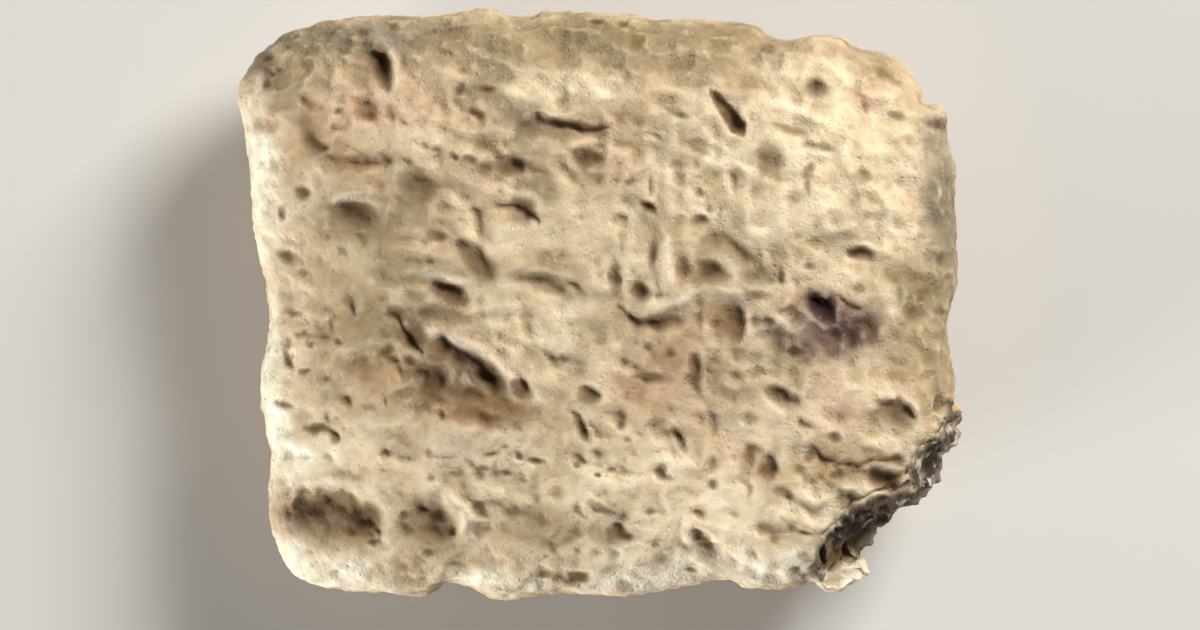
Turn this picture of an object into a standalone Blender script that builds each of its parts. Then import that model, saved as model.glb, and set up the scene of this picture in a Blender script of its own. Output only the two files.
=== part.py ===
"""Small clay cuneiform tablet with a broken corner, lying on its back with the written face up.

Metres in Blender, +Z up. The plan of the face is written in millimetres: x to the right and y up
on the face as it is read. The origin is the middle of the tablet's box, on the surface it lies on.
"""

import collections
import math

import bmesh
import bpy
import numpy as np

# Driving dimensions, in millimetres
TABLET_WIDTH = 48.2
TABLET_HEIGHT = 39.3
TABLET_THICKNESS = 16.0
# How much of the back is rubbed flat, measured up from its lowest point
REST_FLAT_RISE = 0.5
# How square the edge is in section: 2 is an ellipse, and a larger number is squarer
EDGE_SQUARENESS = 3.0
BREAK_SQUARENESS = 5.0
# How far the side leans in towards the back
BACK_TAPER = 0.7

# The broken corner falls this much for each millimetre out
BREAK_SLOPE = 3.2
# Height and size of the lumps on the broken surface, and how far they lie back from its plane
BREAK_ROUGHNESS = 0.6
BREAK_LUMP = 1.5
BREAK_SETBACK = 0.24
# The lumps begin over this distance either side of the edge, and between these heights
BREAK_BAND = 0.5
BREAK_FOOT = (1.0, 4.0)
# The loose-looking chip at the foot of the broken corner
CHIP_DROP = 5.0
CHIP_HALF_WIDTH = 0.7

# Depth and size of the clay's own unevenness: broad swells, and the lumps on them
SWELL_DEPTH = 0.45
SWELL_SIZE = 6.5
LUMP_DEPTH = 0.26
LUMP_SIZE = 2.8
# How much of that unevenness the sides have
SIDE_SHARE = 0.35
# The unevenness fades in between these heights above the surface that the tablet lies on
FOOT_BAND = (0.02, 1.2)
# Upward parts of the clay's slope: between them the side gives way to the face, and the marks begin
FACE_SLOPES = (0.2, 0.8)
MARK_SLOPES = (0.15, 0.55)
# How far the rims of the hollows and strokes wander, and over what distance
WANDER = 0.3
WANDER_SIZE = 1.7

# The rows of writing: single wedges, set out along rows that run slightly downhill
ROW_PITCH = 3.3
ROW_SLOPE = -0.05
STROKE_PITCH = 3.0
STROKE_LENGTH = 2.8
STROKE_WIDTH = 1.35
STROKE_DEPTH = 0.62
STROKE_TURNS = (-10, -14, -38, -75)
WRITING_MARGIN = 4.2
# Share of the wedges that the weather has left, and of their depth that it took at the top right
STROKES_LEFT = 0.68
WORN_AWAY = 0.6
# The wear is full where the shares of the way to the right and to the top add up to this
WORN_REACH = 1.5
# How unlike each other the wedges are: shifts along and across the row, turn, and least and most size
STROKE_SHIFTS = (0.5, 0.35)
STROKE_TURN_SPREAD = 9
STROKE_SIZES = (0.7, 1.15)
# A wedge's head rises over this stretch, as shares of its length
STROKE_HEAD = (-0.25, 0.05)
# Share of a hollow's depth that a wedge pressed in it goes deeper from
HOLLOW_UNDER_STROKE = 0.6
# How round a hollow is in section: 2 is a parabola, and a smaller number is more pointed
HOLLOW_ROUNDNESS = 1.8

# The clay's surface while it is shaped, in cells of this size, and the triangles it ends with
CELL = 0.42
TRIANGLES = 8800
# The ball that the blank is pressed from
BALL_SEGMENTS = 360
BALL_RINGS = 90
SHARP_ANGLE = 40

# Seeds and lattice of the clay's random unevenness
WRITING_SEED = 7
WANDER_SEEDS = (11, 13)
SWELL_SEED = 21
LUMP_SEED = 22
BREAK_SEED = 23
NOISE_SIDE = 32

CLAY_COLOUR = (0.66, 0.54, 0.38, 1.0)
CLAY_ROUGHNESS = 0.9

METRES = 0.001

# The edge of the tablet seen from above, chips and all, clockwise from the top left corner
OUTLINE = (
    (-24.1, 13.7), (-23.6, 15.1), (-22.0, 16.9), (-19.8, 18.1), (-16.0, 18.9), (-11.0, 19.1),
    (-6.9, 19.4), (-6.0, 18.9), (-4.4, 18.9), (-3.4, 19.3), (0.5, 19.4), (2.6, 19.2),
    (3.9, 18.8), (7.5, 18.8), (10.4, 18.5), (11.7, 17.6), (13.1, 17.5), (14.5, 17.8),
    (16.6, 17.6), (17.4, 16.8), (19.3, 16.5), (20.8, 15.4), (21.6, 13.9), (21.9, 13.1),
    (23.3, 12.9), (23.4, 11.3), (24.0, 8.6), (24.0, 4.0), (24.1, 1.5), (23.3, -1.6),
    (24.0, -6.0), (24.1, -9.1), (23.2, -11.2), (22.8, -12.5), (21.0, -13.6), (18.4, -16.2),
    (17.3, -16.8), (18.5, -18.2), (17.0, -19.1), (15.4, -19.6), (14.2, -18.7), (13.3, -19.2),
    (10.0, -19.3), (8.5, -18.7), (5.5, -19.4), (1.3, -19.9), (-3.0, -19.6), (-6.8, -19.9),
    (-9.1, -18.9), (-10.4, -18.9), (-11.6, -19.7), (-15.5, -19.5), (-19.3, -19.0),
    (-21.0, -17.6), (-22.0, -15.2), (-22.2, -12.8), (-21.9, -10.6), (-22.5, -5.9),
    (-21.9, -2.0), (-22.0, 0.2), (-22.9, 4.5), (-23.3, 9.0),
)
OUTLINE_STEPS = 12
# The edge is read at this many angles, and evened out over this many of them for the back
REACH_ANGLES = 720
SMOOTHING_ANGLES = 16
# The chips are in the edge only, more so the larger this is, and gone this far down the back
CHIP_SHARPNESS = 10
BACK_DEPTH = 0.6

# Where the written face ends at the broken corner, from the right side to the bottom
BREAK_EDGE = (
    (25.0, -5.4), (23.0, -6.6), (22.3, -9.3), (21.0, -10.2), (20.6, -12.4), (17.2, -13.6),
    (15.0, -15.7), (14.1, -18.0), (13.4, -21.0),
)
CHIP_ENDS = ((15.4, -18.7), (17.7, -18.3))
# Angles round the plan, in degrees, over which the pillow's edge gives way to the break's
BREAK_BOTTOM_ANGLES = (-86, -46)
BREAK_SIDE_ANGLES = (-12, 24)
# Heights on the ball, from -1 to 1, between which they do so
BREAK_HEIGHTS = (-0.35, 0.1)

# A hollow in the face. turn is the direction of its length and steep that of its steepest wall,
# both in degrees anticlockwise from +x. lean, from 0 to 1, moves its deepest point that way.
Hollow = collections.namedtuple("Hollow", "name x y length width turn depth steep lean")

HOLLOWS = (
    Hollow("top_left_oval", -15.5, 15.9, 3.4, 3.1, 90, 1.4, 10, 0.6),
    Hollow("left_eye", -16.1, 5.7, 3.9, 1.7, -12, 1.1, 80, 0.6),
    Hollow("left_patch", -12.0, 7.5, 3.4, 2.7, -35, 0.7, 50, 0.5),
    Hollow("upper_eye", -6.4, 9.1, 3.2, 1.3, -5, 0.9, 85, 0.6),
    Hollow("upper_hook", -5.7, 6.0, 3.2, 2.4, -20, 0.8, 50, 0.6),
    Hollow("upper_ledge", -1.6, 12.0, 5.8, 1.9, -3, 0.9, 92, 0.8),
    Hollow("upper_blob", -0.5, 9.8, 2.5, 1.6, -5, 0.9, 80, 0.4),
    Hollow("middle_slant", -8.0, 2.7, 4.3, 1.8, -40, 1.0, 50, 0.6),
    Hollow("middle_eye", -11.0, -0.1, 4.4, 2.3, -15, 1.1, 75, 0.6),
    Hollow("crumbled_patch", -13.0, -2.8, 3.0, 2.7, 0, 0.8, 30, 0.5),
    Hollow("deep_slot", -8.6, -4.2, 5.6, 1.7, -36, 2.4, 54, 0.5),
    Hollow("slot_foot", -9.7, -5.7, 5.8, 3.2, -15, 1.0, 60, 0.5),
    Hollow("slot_tail", -5.2, -5.9, 2.6, 1.6, -60, 1.0, 40, 0.6),
    Hollow("centre_oval", -0.7, -6.2, 2.2, 1.7, -25, 0.9, 50, 0.6),
    Hollow("centre_cut", 2.0, -0.8, 2.6, 0.9, -20, 0.8, 70, 0.5),
    Hollow("centre_trough", 4.6, -1.5, 4.6, 1.8, 0, 0.5, 90, 0.5),
    Hollow("right_ring", 7.7, 1.9, 2.1, 1.9, 0, 0.7, 40, 0.5),
    Hollow("right_furrow", 8.5, -1.5, 3.0, 1.8, -70, 0.9, 30, 0.5),
    Hollow("stained_hollow", 15.8, -2.0, 5.6, 3.2, -10, 1.2, 60, 0.4),
    Hollow("stained_pit", 15.0, -0.5, 2.9, 1.7, -42, 1.6, 50, 0.4),
    Hollow("stained_side", 12.0, -2.6, 3.4, 2.2, -20, 0.7, 60, 0.4),
    Hollow("right_eye", 19.7, -7.6, 3.0, 1.5, -38, 1.0, 50, 0.6),
    Hollow("right_slant", 12.1, -6.3, 2.8, 1.3, -22, 0.8, 60, 0.6),
    Hollow("lower_knot", 11.1, -11.1, 2.1, 1.7, 0, 0.8, 60, 0.4),
    Hollow("break_shelf", 18.8, -11.5, 3.0, 1.4, 0, 1.0, 90, 0.4),
    Hollow("break_gap", 15.5, -16.9, 3.8, 1.8, 32, 4.2, 120, 0.1),
    Hollow("bottom_eye", -1.3, -18.1, 2.6, 1.1, -8, 0.8, 80, 0.5),
    Hollow("lower_slant", 7.1, -15.9, 2.4, 1.1, -42, 0.9, 50, 0.5),
    Hollow("lower_left_hollow", -17.7, -14.8, 7.8, 4.4, -5, 2.1, 95, 0.6),
    Hollow("lower_left_ring", -15.5, -15.2, 3.0, 3.0, 0, 0.6, 40, 0.7),
    Hollow("lower_second_hollow", -11.3, -14.9, 4.2, 3.3, -10, 1.5, 20, 0.6),
    Hollow("lower_left_mouth", -19.3, -14.2, 3.6, 1.6, -12, 1.0, 90, 0.6),
    Hollow("left_corner_groove", -19.0, 10.7, 3.4, 1.0, -72, 0.5, 0, 0.3),
    Hollow("left_corner_ledge", -16.4, 9.7, 4.6, 1.0, -6, 0.5, 90, 0.3),
    Hollow("left_corner_pit", -15.4, 12.4, 1.8, 1.7, 0, 0.7, 30, 0.4),
    Hollow("upper_wedge", 8.7, 12.4, 3.1, 1.3, -52, 1.5, 38, 0.4),
    Hollow("upper_right_dish", 14.3, 14.1, 2.2, 2.0, 0, 0.5, 60, 0.4),
    Hollow("right_crescent", 17.2, 3.4, 2.7, 1.4, -15, 0.8, 70, 0.6),
    Hollow("right_notch", 9.9, 0.3, 2.2, 1.2, -30, 0.6, 60, 0.5),
    Hollow("centre_left_eye", 2.6, 0.8, 1.7, 1.7, 0, 0.8, 40, 0.5),
    Hollow("centre_hook", 6.2, -4.7, 3.2, 1.3, 90, 0.6, 20, 0.5),
    Hollow("lower_centre_dish", 1.4, -15.6, 2.4, 2.2, 0, 0.6, 60, 0.5),
    Hollow("left_band_pit", -18.8, -8.5, 2.6, 1.1, -8, 0.6, 80, 0.5),
    Hollow("left_band_eye", -20.5, 3.0, 2.0, 1.2, -20, 0.6, 60, 0.5),
    Hollow("left_band_top", -19.7, 7.3, 1.7, 1.0, -15, 0.6, 70, 0.5),
)


def clear_scene():
    """Removes every object that the file opens with."""
    for item in list(bpy.data.objects):
        bpy.data.objects.remove(item, do_unlink=True)


def closed_curve(points, steps):
    """A smooth closed line through the points, as an array of steps places for each point."""
    corners = np.array(points, float)
    before = np.roll(corners, 1, axis=0)
    after = np.roll(corners, -1, axis=0)
    beyond = np.roll(corners, -2, axis=0)
    places = []
    for share in np.arange(steps) / steps:
        places.append(
            0.5
            * (
                2 * corners
                + (after - before) * share
                + (2 * before - 5 * corners + 4 * after - beyond) * share**2
                + (3 * corners - before - 3 * after + beyond) * share**3
            )
        )
    return np.stack(places, axis=1).reshape(-1, 2)


def plan_scale():
    """The tablet's width and height over those of the drawn outline."""
    line = closed_curve(OUTLINE, OUTLINE_STEPS)
    return np.array([TABLET_WIDTH, TABLET_HEIGHT]) / (line.max(axis=0) - line.min(axis=0))


def edge_reach():
    """Even angles round the plan, and how far its edge is from the middle at each."""
    line = closed_curve(OUTLINE, OUTLINE_STEPS) * plan_scale()
    drawn_angles = np.arctan2(line[:, 1], line[:, 0])
    angles = np.linspace(-math.pi, math.pi, REACH_ANGLES, endpoint=False)
    reach = np.hypot(line[:, 0], line[:, 1])
    return angles, np.interp(angles, drawn_angles, reach, period=2 * math.pi)


def blurred(values, window):
    """The values averaged over a window that runs round the ring."""
    ends = np.concatenate([values[-window:], values, values[:window]])
    kernel = np.ones(2 * window + 1) / (2 * window + 1)
    return np.convolve(ends, kernel, mode="same")[window:-window]


def ramp(value, low, high):
    """0 below low, 1 above high, and a smooth rise between."""
    share = np.clip((value - low) / (high - low), 0, 1)
    return share * share * (3 - 2 * share)


def value_noise(points, cell, seed):
    """Smooth noise from -1 to 1 at each point, with lumps about one cell across."""
    lattice = np.random.default_rng(seed).uniform(-1, 1, (NOISE_SIDE, NOISE_SIDE, NOISE_SIDE))
    scaled = points / cell + NOISE_SIDE * 4
    corner = np.floor(scaled).astype(int)
    share = scaled - corner
    share = share * share * (3 - 2 * share)
    total = np.zeros(len(points))
    for step in np.ndindex(2, 2, 2):
        weight = np.ones(len(points))
        for axis in range(3):
            weight *= share[:, axis] if step[axis] else 1 - share[:, axis]
        i, j, k = ((corner[:, axis] + step[axis]) % NOISE_SIDE for axis in range(3))
        total += weight * lattice[i, j, k]
    return total


def depth_of_hollow(x, y, hollow):
    """How far the hollow presses the face in at each place."""
    turn = math.radians(hollow.turn)
    along = (x - hollow.x) * math.cos(turn) + (y - hollow.y) * math.sin(turn)
    across = (y - hollow.y) * math.cos(turn) - (x - hollow.x) * math.sin(turn)
    steep = math.radians(hollow.steep - hollow.turn)
    deep_u, deep_v = hollow.lean * math.cos(steep), hollow.lean * math.sin(steep)
    u = along / (hollow.length / 2) - deep_u
    v = across / (hollow.width / 2) - deep_v
    square = u * u + v * v
    middle = deep_u * u + deep_v * v
    reach = np.sqrt(middle * middle + square * (1 - hollow.lean**2))
    to_rim = square / np.maximum(reach - middle, 1e-9)
    return hollow.depth * np.clip(1 - to_rim**HOLLOW_ROUNDNESS, 0, None)


def depth_of_stroke(x, y, head, turn, length, width, depth):
    """A wedge pressed by a stylus: broad and deep at its head, running out to a point."""
    along = ((x - head[0]) * math.cos(turn) + (y - head[1]) * math.sin(turn)) / length
    across = (y - head[1]) * math.cos(turn) - (x - head[0]) * math.sin(turn)
    taper = np.clip(1 - along, 0, 1) * ramp(along, *STROKE_HEAD)
    half = np.maximum(width / 2 * taper, 1e-6)
    return depth * taper * np.clip(1 - (across / half) ** 2, 0, 1)


def writing_depth(x, y):
    """Rows of single worn wedges that form no signs, fainter towards the top right."""
    random = np.random.default_rng(WRITING_SEED)
    pressed = np.zeros(len(x))
    right, top = TABLET_WIDTH / 2 - WRITING_MARGIN, TABLET_HEIGHT / 2 - WRITING_MARGIN
    shift_x, shift_y = STROKE_SHIFTS
    for row_y in np.arange(top, -top, -ROW_PITCH):
        for column_x in np.arange(-right, right, STROKE_PITCH):
            head_x = column_x + random.uniform(-shift_x, shift_x)
            head_y = row_y + ROW_SLOPE * head_x + random.uniform(-shift_y, shift_y)
            turn = random.choice(STROKE_TURNS) + random.uniform(-STROKE_TURN_SPREAD, STROKE_TURN_SPREAD)
            size = random.uniform(*STROKE_SIZES)
            worn = WORN_AWAY * ramp(head_x / right + head_y / top, 0, WORN_REACH)
            depth = STROKE_DEPTH * size * (1 - worn)
            if random.uniform() < STROKES_LEFT:
                length, width = STROKE_LENGTH * size, STROKE_WIDTH * size
                stroke = depth_of_stroke(x, y, (head_x, head_y), math.radians(turn), length, width, depth)
                pressed = np.maximum(pressed, stroke)
    return pressed


def distance_to_segment(x, y, start, end):
    """Distance of each place from the straight line between two points."""
    step_x, step_y = end[0] - start[0], end[1] - start[1]
    share = ((x - start[0]) * step_x + (y - start[1]) * step_y) / (step_x**2 + step_y**2)
    share = np.clip(share, 0, 1)
    return np.hypot(x - start[0] - share * step_x, y - start[1] - share * step_y)


def past_break_edge(x, y):
    """How far out each place is past the face's edge at the broken corner, negative on the face."""
    distance = np.full(len(x), np.inf)
    outside = np.zeros(len(x), bool)
    for start, end in zip(BREAK_EDGE, BREAK_EDGE[1:]):
        distance = np.minimum(distance, distance_to_segment(x, y, start, end))
        level = (y <= start[1]) & (y > end[1])
        crossing = start[0] + (y - start[1]) * (end[0] - start[0]) / (end[1] - start[1])
        outside |= level & (x > crossing)
    return np.where(outside, distance, -distance)


def corner_surface(x, y):
    """Height that the broken corner cuts the tablet down to, with the chip left at its foot."""
    fracture = TABLET_THICKNESS - BREAK_SLOPE * np.maximum(past_break_edge(x, y), 0)
    from_chip = distance_to_segment(x, y, *CHIP_ENDS)
    chip = TABLET_THICKNESS - CHIP_DROP - BREAK_SLOPE * np.maximum(from_chip - CHIP_HALF_WIDTH, 0)
    return np.maximum(fracture, chip)


def make_blank():
    """The pillow-shaped blank, with its real edge, a flat rest on its back and its broken corner."""
    mesh = bpy.data.meshes.new("blank")
    ball = bmesh.new()
    bmesh.ops.create_uvsphere(ball, u_segments=BALL_SEGMENTS, v_segments=BALL_RINGS, radius=1.0)
    ball.to_mesh(mesh)
    ball.free()
    points = vertex_places(mesh)
    angle = np.arctan2(points[:, 1], points[:, 0])
    around, up = np.hypot(points[:, 0], points[:, 1]), points[:, 2]

    in_corner = ramp(angle, *np.radians(BREAK_BOTTOM_ANGLES)) * ramp(-angle, *np.radians(BREAK_SIDE_ANGLES))
    in_corner *= ramp(up, *BREAK_HEIGHTS)
    squareness = EDGE_SQUARENESS + (BREAK_SQUARENESS - EDGE_SQUARENESS) * in_corner
    length = (around**squareness + np.abs(up) ** squareness) ** (1 / squareness)
    around, up = around / length, up / length

    angles, reach = edge_reach()
    without_chips = blurred(blurred(reach, SMOOTHING_ANGLES), SMOOTHING_ANGLES)
    smooth_reach = np.interp(angle, angles, without_chips, period=2 * math.pi)
    chipped_reach = np.interp(angle, angles, reach, period=2 * math.pi)
    on_back = ramp(-up, 0, BACK_DEPTH)
    at_edge = around**CHIP_SHARPNESS * (1 - on_back)
    radius = smooth_reach + (chipped_reach - smooth_reach) * at_edge - BACK_TAPER * on_back
    points[:, 0], points[:, 1] = around * radius * np.cos(angle), around * radius * np.sin(angle)

    half = (TABLET_THICKNESS + REST_FLAT_RISE) / 2
    points[:, 2] = np.maximum(half * (1 + up) - REST_FLAT_RISE, 0)
    drawn = points[:, :2] / plan_scale()
    points[:, 2] = np.minimum(points[:, 2], corner_surface(*drawn.T))
    set_vertex_places(mesh, points)
    blank = bpy.data.objects.new("blank", mesh)
    bpy.context.scene.collection.objects.link(blank)
    return blank


def vertex_places(mesh):
    """The mesh's vertices as an array of x, y, z."""
    places = np.empty(len(mesh.vertices) * 3)
    mesh.vertices.foreach_get("co", places)
    return places.reshape(-1, 3)


def set_vertex_places(mesh, points):
    """Moves the mesh's vertices to these places."""
    mesh.vertices.foreach_set("co", points.astype(np.float32).ravel())
    mesh.update()


def vertex_normals(mesh):
    """The mesh's vertex normals as an array of x, y, z."""
    normals = np.empty(len(mesh.vertices) * 3)
    mesh.vertices.foreach_get("normal", normals)
    return normals.reshape(-1, 3)


def evaluated_mesh(item):
    """A new mesh of the object with its modifiers done."""
    graph = bpy.context.evaluated_depsgraph_get()
    return bpy.data.meshes.new_from_object(item.evaluated_get(graph))


def press_relief(mesh):
    """Presses the hollows and the writing into the face, and roughens the clay all round."""
    points, normals = vertex_places(mesh), vertex_normals(mesh)
    drawn = points[:, :2] / plan_scale()
    wander = WANDER * np.stack([value_noise(points, WANDER_SIZE, seed) for seed in WANDER_SEEDS], axis=1)

    pressed = np.zeros(len(points))
    for hollow in HOLLOWS:
        pressed += depth_of_hollow(*(drawn + wander).T, hollow)
    writing = writing_depth(*(points[:, :2] + wander).T)
    pressed = np.maximum(pressed, writing + HOLLOW_UNDER_STROKE * pressed)
    pressed = pressed * ramp(normals[:, 2], *MARK_SLOPES)

    uneven = SWELL_DEPTH * value_noise(points, SWELL_SIZE, SWELL_SEED)
    uneven += LUMP_DEPTH * value_noise(points, LUMP_SIZE, LUMP_SEED)
    uneven *= SIDE_SHARE + (1 - SIDE_SHARE) * ramp(normals[:, 2], *FACE_SLOPES)
    on_break = ramp(past_break_edge(*drawn.T), -BREAK_BAND, BREAK_BAND) * ramp(points[:, 2], *BREAK_FOOT)
    uneven += on_break * (BREAK_ROUGHNESS * value_noise(points, BREAK_LUMP, BREAK_SEED) - BREAK_SETBACK)
    uneven *= ramp(points[:, 2], *FOOT_BAND)

    points += normals * uneven[:, None]
    points[:, 2] = np.maximum(points[:, 2] - pressed, 0)
    set_vertex_places(mesh, points)


def clay_material():
    """Dry pale clay."""
    clay = bpy.data.materials.new("clay")
    clay.use_nodes = True
    shader = clay.node_tree.nodes["Principled BSDF"]
    shader.inputs["Base Color"].default_value = CLAY_COLOUR
    shader.inputs["Roughness"].default_value = CLAY_ROUGHNESS
    shader.inputs["Metallic"].default_value = 0.0
    clay.diffuse_color = CLAY_COLOUR
    return clay


def make_tablet():
    """The finished tablet as one object, in metres, standing on the middle of its box."""
    blank = make_blank()
    cells = blank.modifiers.new("cells", "REMESH")
    cells.mode = "VOXEL"
    cells.voxel_size = CELL
    shaped = evaluated_mesh(blank)
    press_relief(shaped)
    bpy.data.objects.remove(blank, do_unlink=True)

    rough = bpy.data.objects.new("rough", shaped)
    bpy.context.scene.collection.objects.link(rough)
    thin = rough.modifiers.new("thin", "DECIMATE")
    thin.ratio = TRIANGLES / (2 * len(shaped.polygons))
    mesh = evaluated_mesh(rough)
    mesh.name = "tablet"
    bpy.data.objects.remove(rough, do_unlink=True)

    points = vertex_places(mesh)
    low, high = points.min(axis=0), points.max(axis=0)
    points -= np.array([(low[0] + high[0]) / 2, (low[1] + high[1]) / 2, low[2]])
    set_vertex_places(mesh, points * METRES)
    mesh.materials.clear()
    mesh.materials.append(clay_material())
    mesh.shade_smooth()
    mesh.set_sharp_from_angle(angle=math.radians(SHARP_ANGLE))
    return bpy.data.objects.new("tablet", mesh)


def main():
    clear_scene()
    tablet_parts = bpy.data.collections.new("cuneiform_tablet")
    bpy.context.scene.collection.children.link(tablet_parts)
    tablet_parts.objects.link(make_tablet())


main()
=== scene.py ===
"""Clay cuneiform tablet with a broken corner: its fine surface, its finish, and the light on it.

The tablet's plan is written in millimetres, x to the right and y up on the face as it is read,
and turned to metres at the end.
"""

import collections
import math

import bpy
import numpy as np
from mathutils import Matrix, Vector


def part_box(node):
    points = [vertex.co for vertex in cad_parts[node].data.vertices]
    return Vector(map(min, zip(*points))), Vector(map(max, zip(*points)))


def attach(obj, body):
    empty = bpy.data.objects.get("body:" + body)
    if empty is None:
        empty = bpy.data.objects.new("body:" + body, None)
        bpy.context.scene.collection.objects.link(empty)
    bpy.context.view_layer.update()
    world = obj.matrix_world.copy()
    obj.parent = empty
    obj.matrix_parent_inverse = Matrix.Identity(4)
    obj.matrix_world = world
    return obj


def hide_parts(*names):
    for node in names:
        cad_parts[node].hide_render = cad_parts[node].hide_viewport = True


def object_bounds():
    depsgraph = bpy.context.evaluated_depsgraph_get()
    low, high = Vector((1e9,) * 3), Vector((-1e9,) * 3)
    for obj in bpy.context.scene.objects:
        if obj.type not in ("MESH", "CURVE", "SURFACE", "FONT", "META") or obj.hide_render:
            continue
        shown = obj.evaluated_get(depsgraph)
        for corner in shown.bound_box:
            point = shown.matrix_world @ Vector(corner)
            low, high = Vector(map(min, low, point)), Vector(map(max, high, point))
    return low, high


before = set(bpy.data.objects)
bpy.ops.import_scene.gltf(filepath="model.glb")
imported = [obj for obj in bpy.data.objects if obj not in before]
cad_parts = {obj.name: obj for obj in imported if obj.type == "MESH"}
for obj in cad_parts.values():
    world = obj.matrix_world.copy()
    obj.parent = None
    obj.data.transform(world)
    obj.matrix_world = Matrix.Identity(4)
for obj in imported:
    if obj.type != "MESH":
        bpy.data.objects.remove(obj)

SOLID_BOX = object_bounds()

# Tablet blank, in millimetres
TABLET_WIDTH = 48.2
TABLET_HEIGHT = 39.3
TABLET_THICKNESS = 16.0
REST_FLAT_RISE = 0.5
EDGE_SQUARENESS = 3.0
BREAK_SQUARENESS = 5.0
BACK_TAPER = 0.7
# How far up or down the blank the back and the broken corner begin and end, from -1 to 1
BACK_BAND = (0.0, 0.6)
BREAK_BAND_UP = (-0.35, 0.1)
# The edge's chips show only close to its widest line: a higher power keeps them closer
CHIP_SHARPNESS = 10
BLANK_SEGMENTS = 480
BLANK_RINGS = 220

# Broken corner and the chip at its foot
BREAK_SLOPE = 3.2
BREAK_ROUGHNESS = 0.6
BREAK_LUMP = 1.5
BREAK_SETBACK = 0.24
BREAK_CRUMBS = 0.5
BREAK_CRUMB_SIZE = 0.9
FINE_CRUMBS = 0.5
FINE_CRUMB_SIZE = 0.45
# Where the broken face roughens: past its edge, and above the back
BREAK_BAND = (-0.5, 0.5)
BREAK_HEIGHTS = (1.0, 4.0)
# Clay counts as broken this near the cut surface, as minus the distance, and this far past its edge
FRACTURE_DEPTHS = (-1.0, -0.55)
FRACTURE_EDGE = (-0.35, 0.25)
CHIP_DROP = 5.0
CHIP_HALF_WIDTH = 0.7
CHIP_TOP_DEPTH = 2.4
CHIP_TOP_BAND = (-1.9, -1.0)
CHIP_SMOOTHNESS = 0.85

# Unevenness of the clay
SWELL_DEPTH = 0.45
SWELL_SIZE = 6.5
LUMP_DEPTH = 0.32
LUMP_SIZE = 2.8
SIDE_SHARE = 0.35
# The relief fades out above the flat that the tablet lies on
FOOT_BAND = (0.02, 1.2)
# How steeply the surface may lean and still count as the face, or take a mark
FACE_SLOPES = (0.2, 0.8)
MARK_SLOPES = (0.2, 0.6)
NOISE_SIDE = 32
# Finer weathering: ridged flow lines that run down to the right, pitting, crumbs and grains
FLOW_DEPTH = 0.5
FLOW_LENGTH = 4.2
FLOW_WIDTH = 1.7
FLOW_TURN = -20
FLOW_ON_SIDES = 0.2
PIT_DEPTH = 0.38
PIT_SIZE = 1.3
PITS_ON_SIDES = 0.25
CRUMB_DEPTH = 0.13
CRUMB_SIZE = 0.6
GRAIN_DEPTH = 0.035
GRAIN_SIZE = 0.36
# Lines wander and tremble, as they do in clay, and marks wander a little more
WANDER = 0.3
WANDER_SIZE = 1.7
MARK_WANDER = 1.2
TREMBLE = 0.27
TREMBLE_SIZE = 0.8
# A seed for each kind of unevenness
SEEDS = {
    "wander": (11, 13),
    "tremble": (12, 14),
    "swell": 21,
    "lumps": 22,
    "break": 23,
    "flow": 24,
    "crumbs": 25,
    "grain": 26,
    "break crumbs": 27,
    "pits": 28,
    "fine crumbs": 29,
    "paint wander": (31, 32),
    "paint fray": (33, 34),
    "pale wash": (35, 36),
    "grey wash": (37, 38),
    "ruddy wash": (39, 40),
    "rim patches": 41,
}

# Rows of writing
ROW_PITCH = 3.3
ROW_SLOPE = -0.05
STROKE_PITCH = 3.0
STROKE_LENGTH = 2.8
STROKE_WIDTH = 1.5
STROKE_DEPTH = 0.62
STROKE_TURNS = (-10, -14, -38, -75)
STROKE_TURN_SPREAD = 9
STROKE_SHIFTS = (0.5, 0.35)
STROKE_SIZES = (0.7, 1.15)
STROKE_HEAD = (-0.25, 0.05)
WRITING_MARGIN = 4.2
WRITING_SEED = 7
STROKES_LEFT = 0.68
# The writing is worn away towards the top right by this share, over this reach
WORN_AWAY = 0.6
WORN_REACH = 1.5
# A stroke that would cross another mark by more than this is left out, and one that touches a mark
# fades where the mark is this deep. The mark keeps a share of its depth under a stroke.
CROWDING = 0.07
CROWDED_DEPTHS = (0.12, 0.4)
UNDER_STROKE = 0.7

# Wear has left the hollows and the strokes this share of their full depth and lean
HOLLOW_LEFT = 0.7
STROKE_LEFT = 0.56
LEAN_LEFT = 0.8
# The lip on a hollow's steep side: its height, and its place and width as shares of the way out
HOLLOW_LIP = 0.24
HOLLOW_LIP_PLACE = 1.28
HOLLOW_LIP_WIDTH = 0.28
LIP_FOR_LEAN = 2.5
RIM_SOFTNESS = 1.5
# Hollows narrower than this are shallower, and sink more evenly
NARROW = 1.8
NARROWEST_LEFT = 0.35
# A mark lies this far from where it is drawn, which is the middle of the shadow that shows it
MARK_SHIFT = (0.06, -0.27)

# Fineness of the surface
FINE_CELL = 0.2
FINE_TRIANGLES = 190000
METRES = 0.001
# Too small to matter, and keeps a division safe
TINY = 1e-9

# The clay's material. A scale is in noise cells to the metre, a band holds the noise values between
# which a layer comes in, and a share is how strong it is.
MOTTLING_SCALE = 480
MOTTLING_BAND = (0.32, 0.68)
MOTTLING_SHARE = 0.75
SALT_SCALE = 900
SALT_BAND = (0.56, 0.72)
SALT_SHARE = 0.25
SPECK_SCALE = 2100
SPECK_BAND = (0.62, 0.72)
SPECK_SHARE = 0.4
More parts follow.
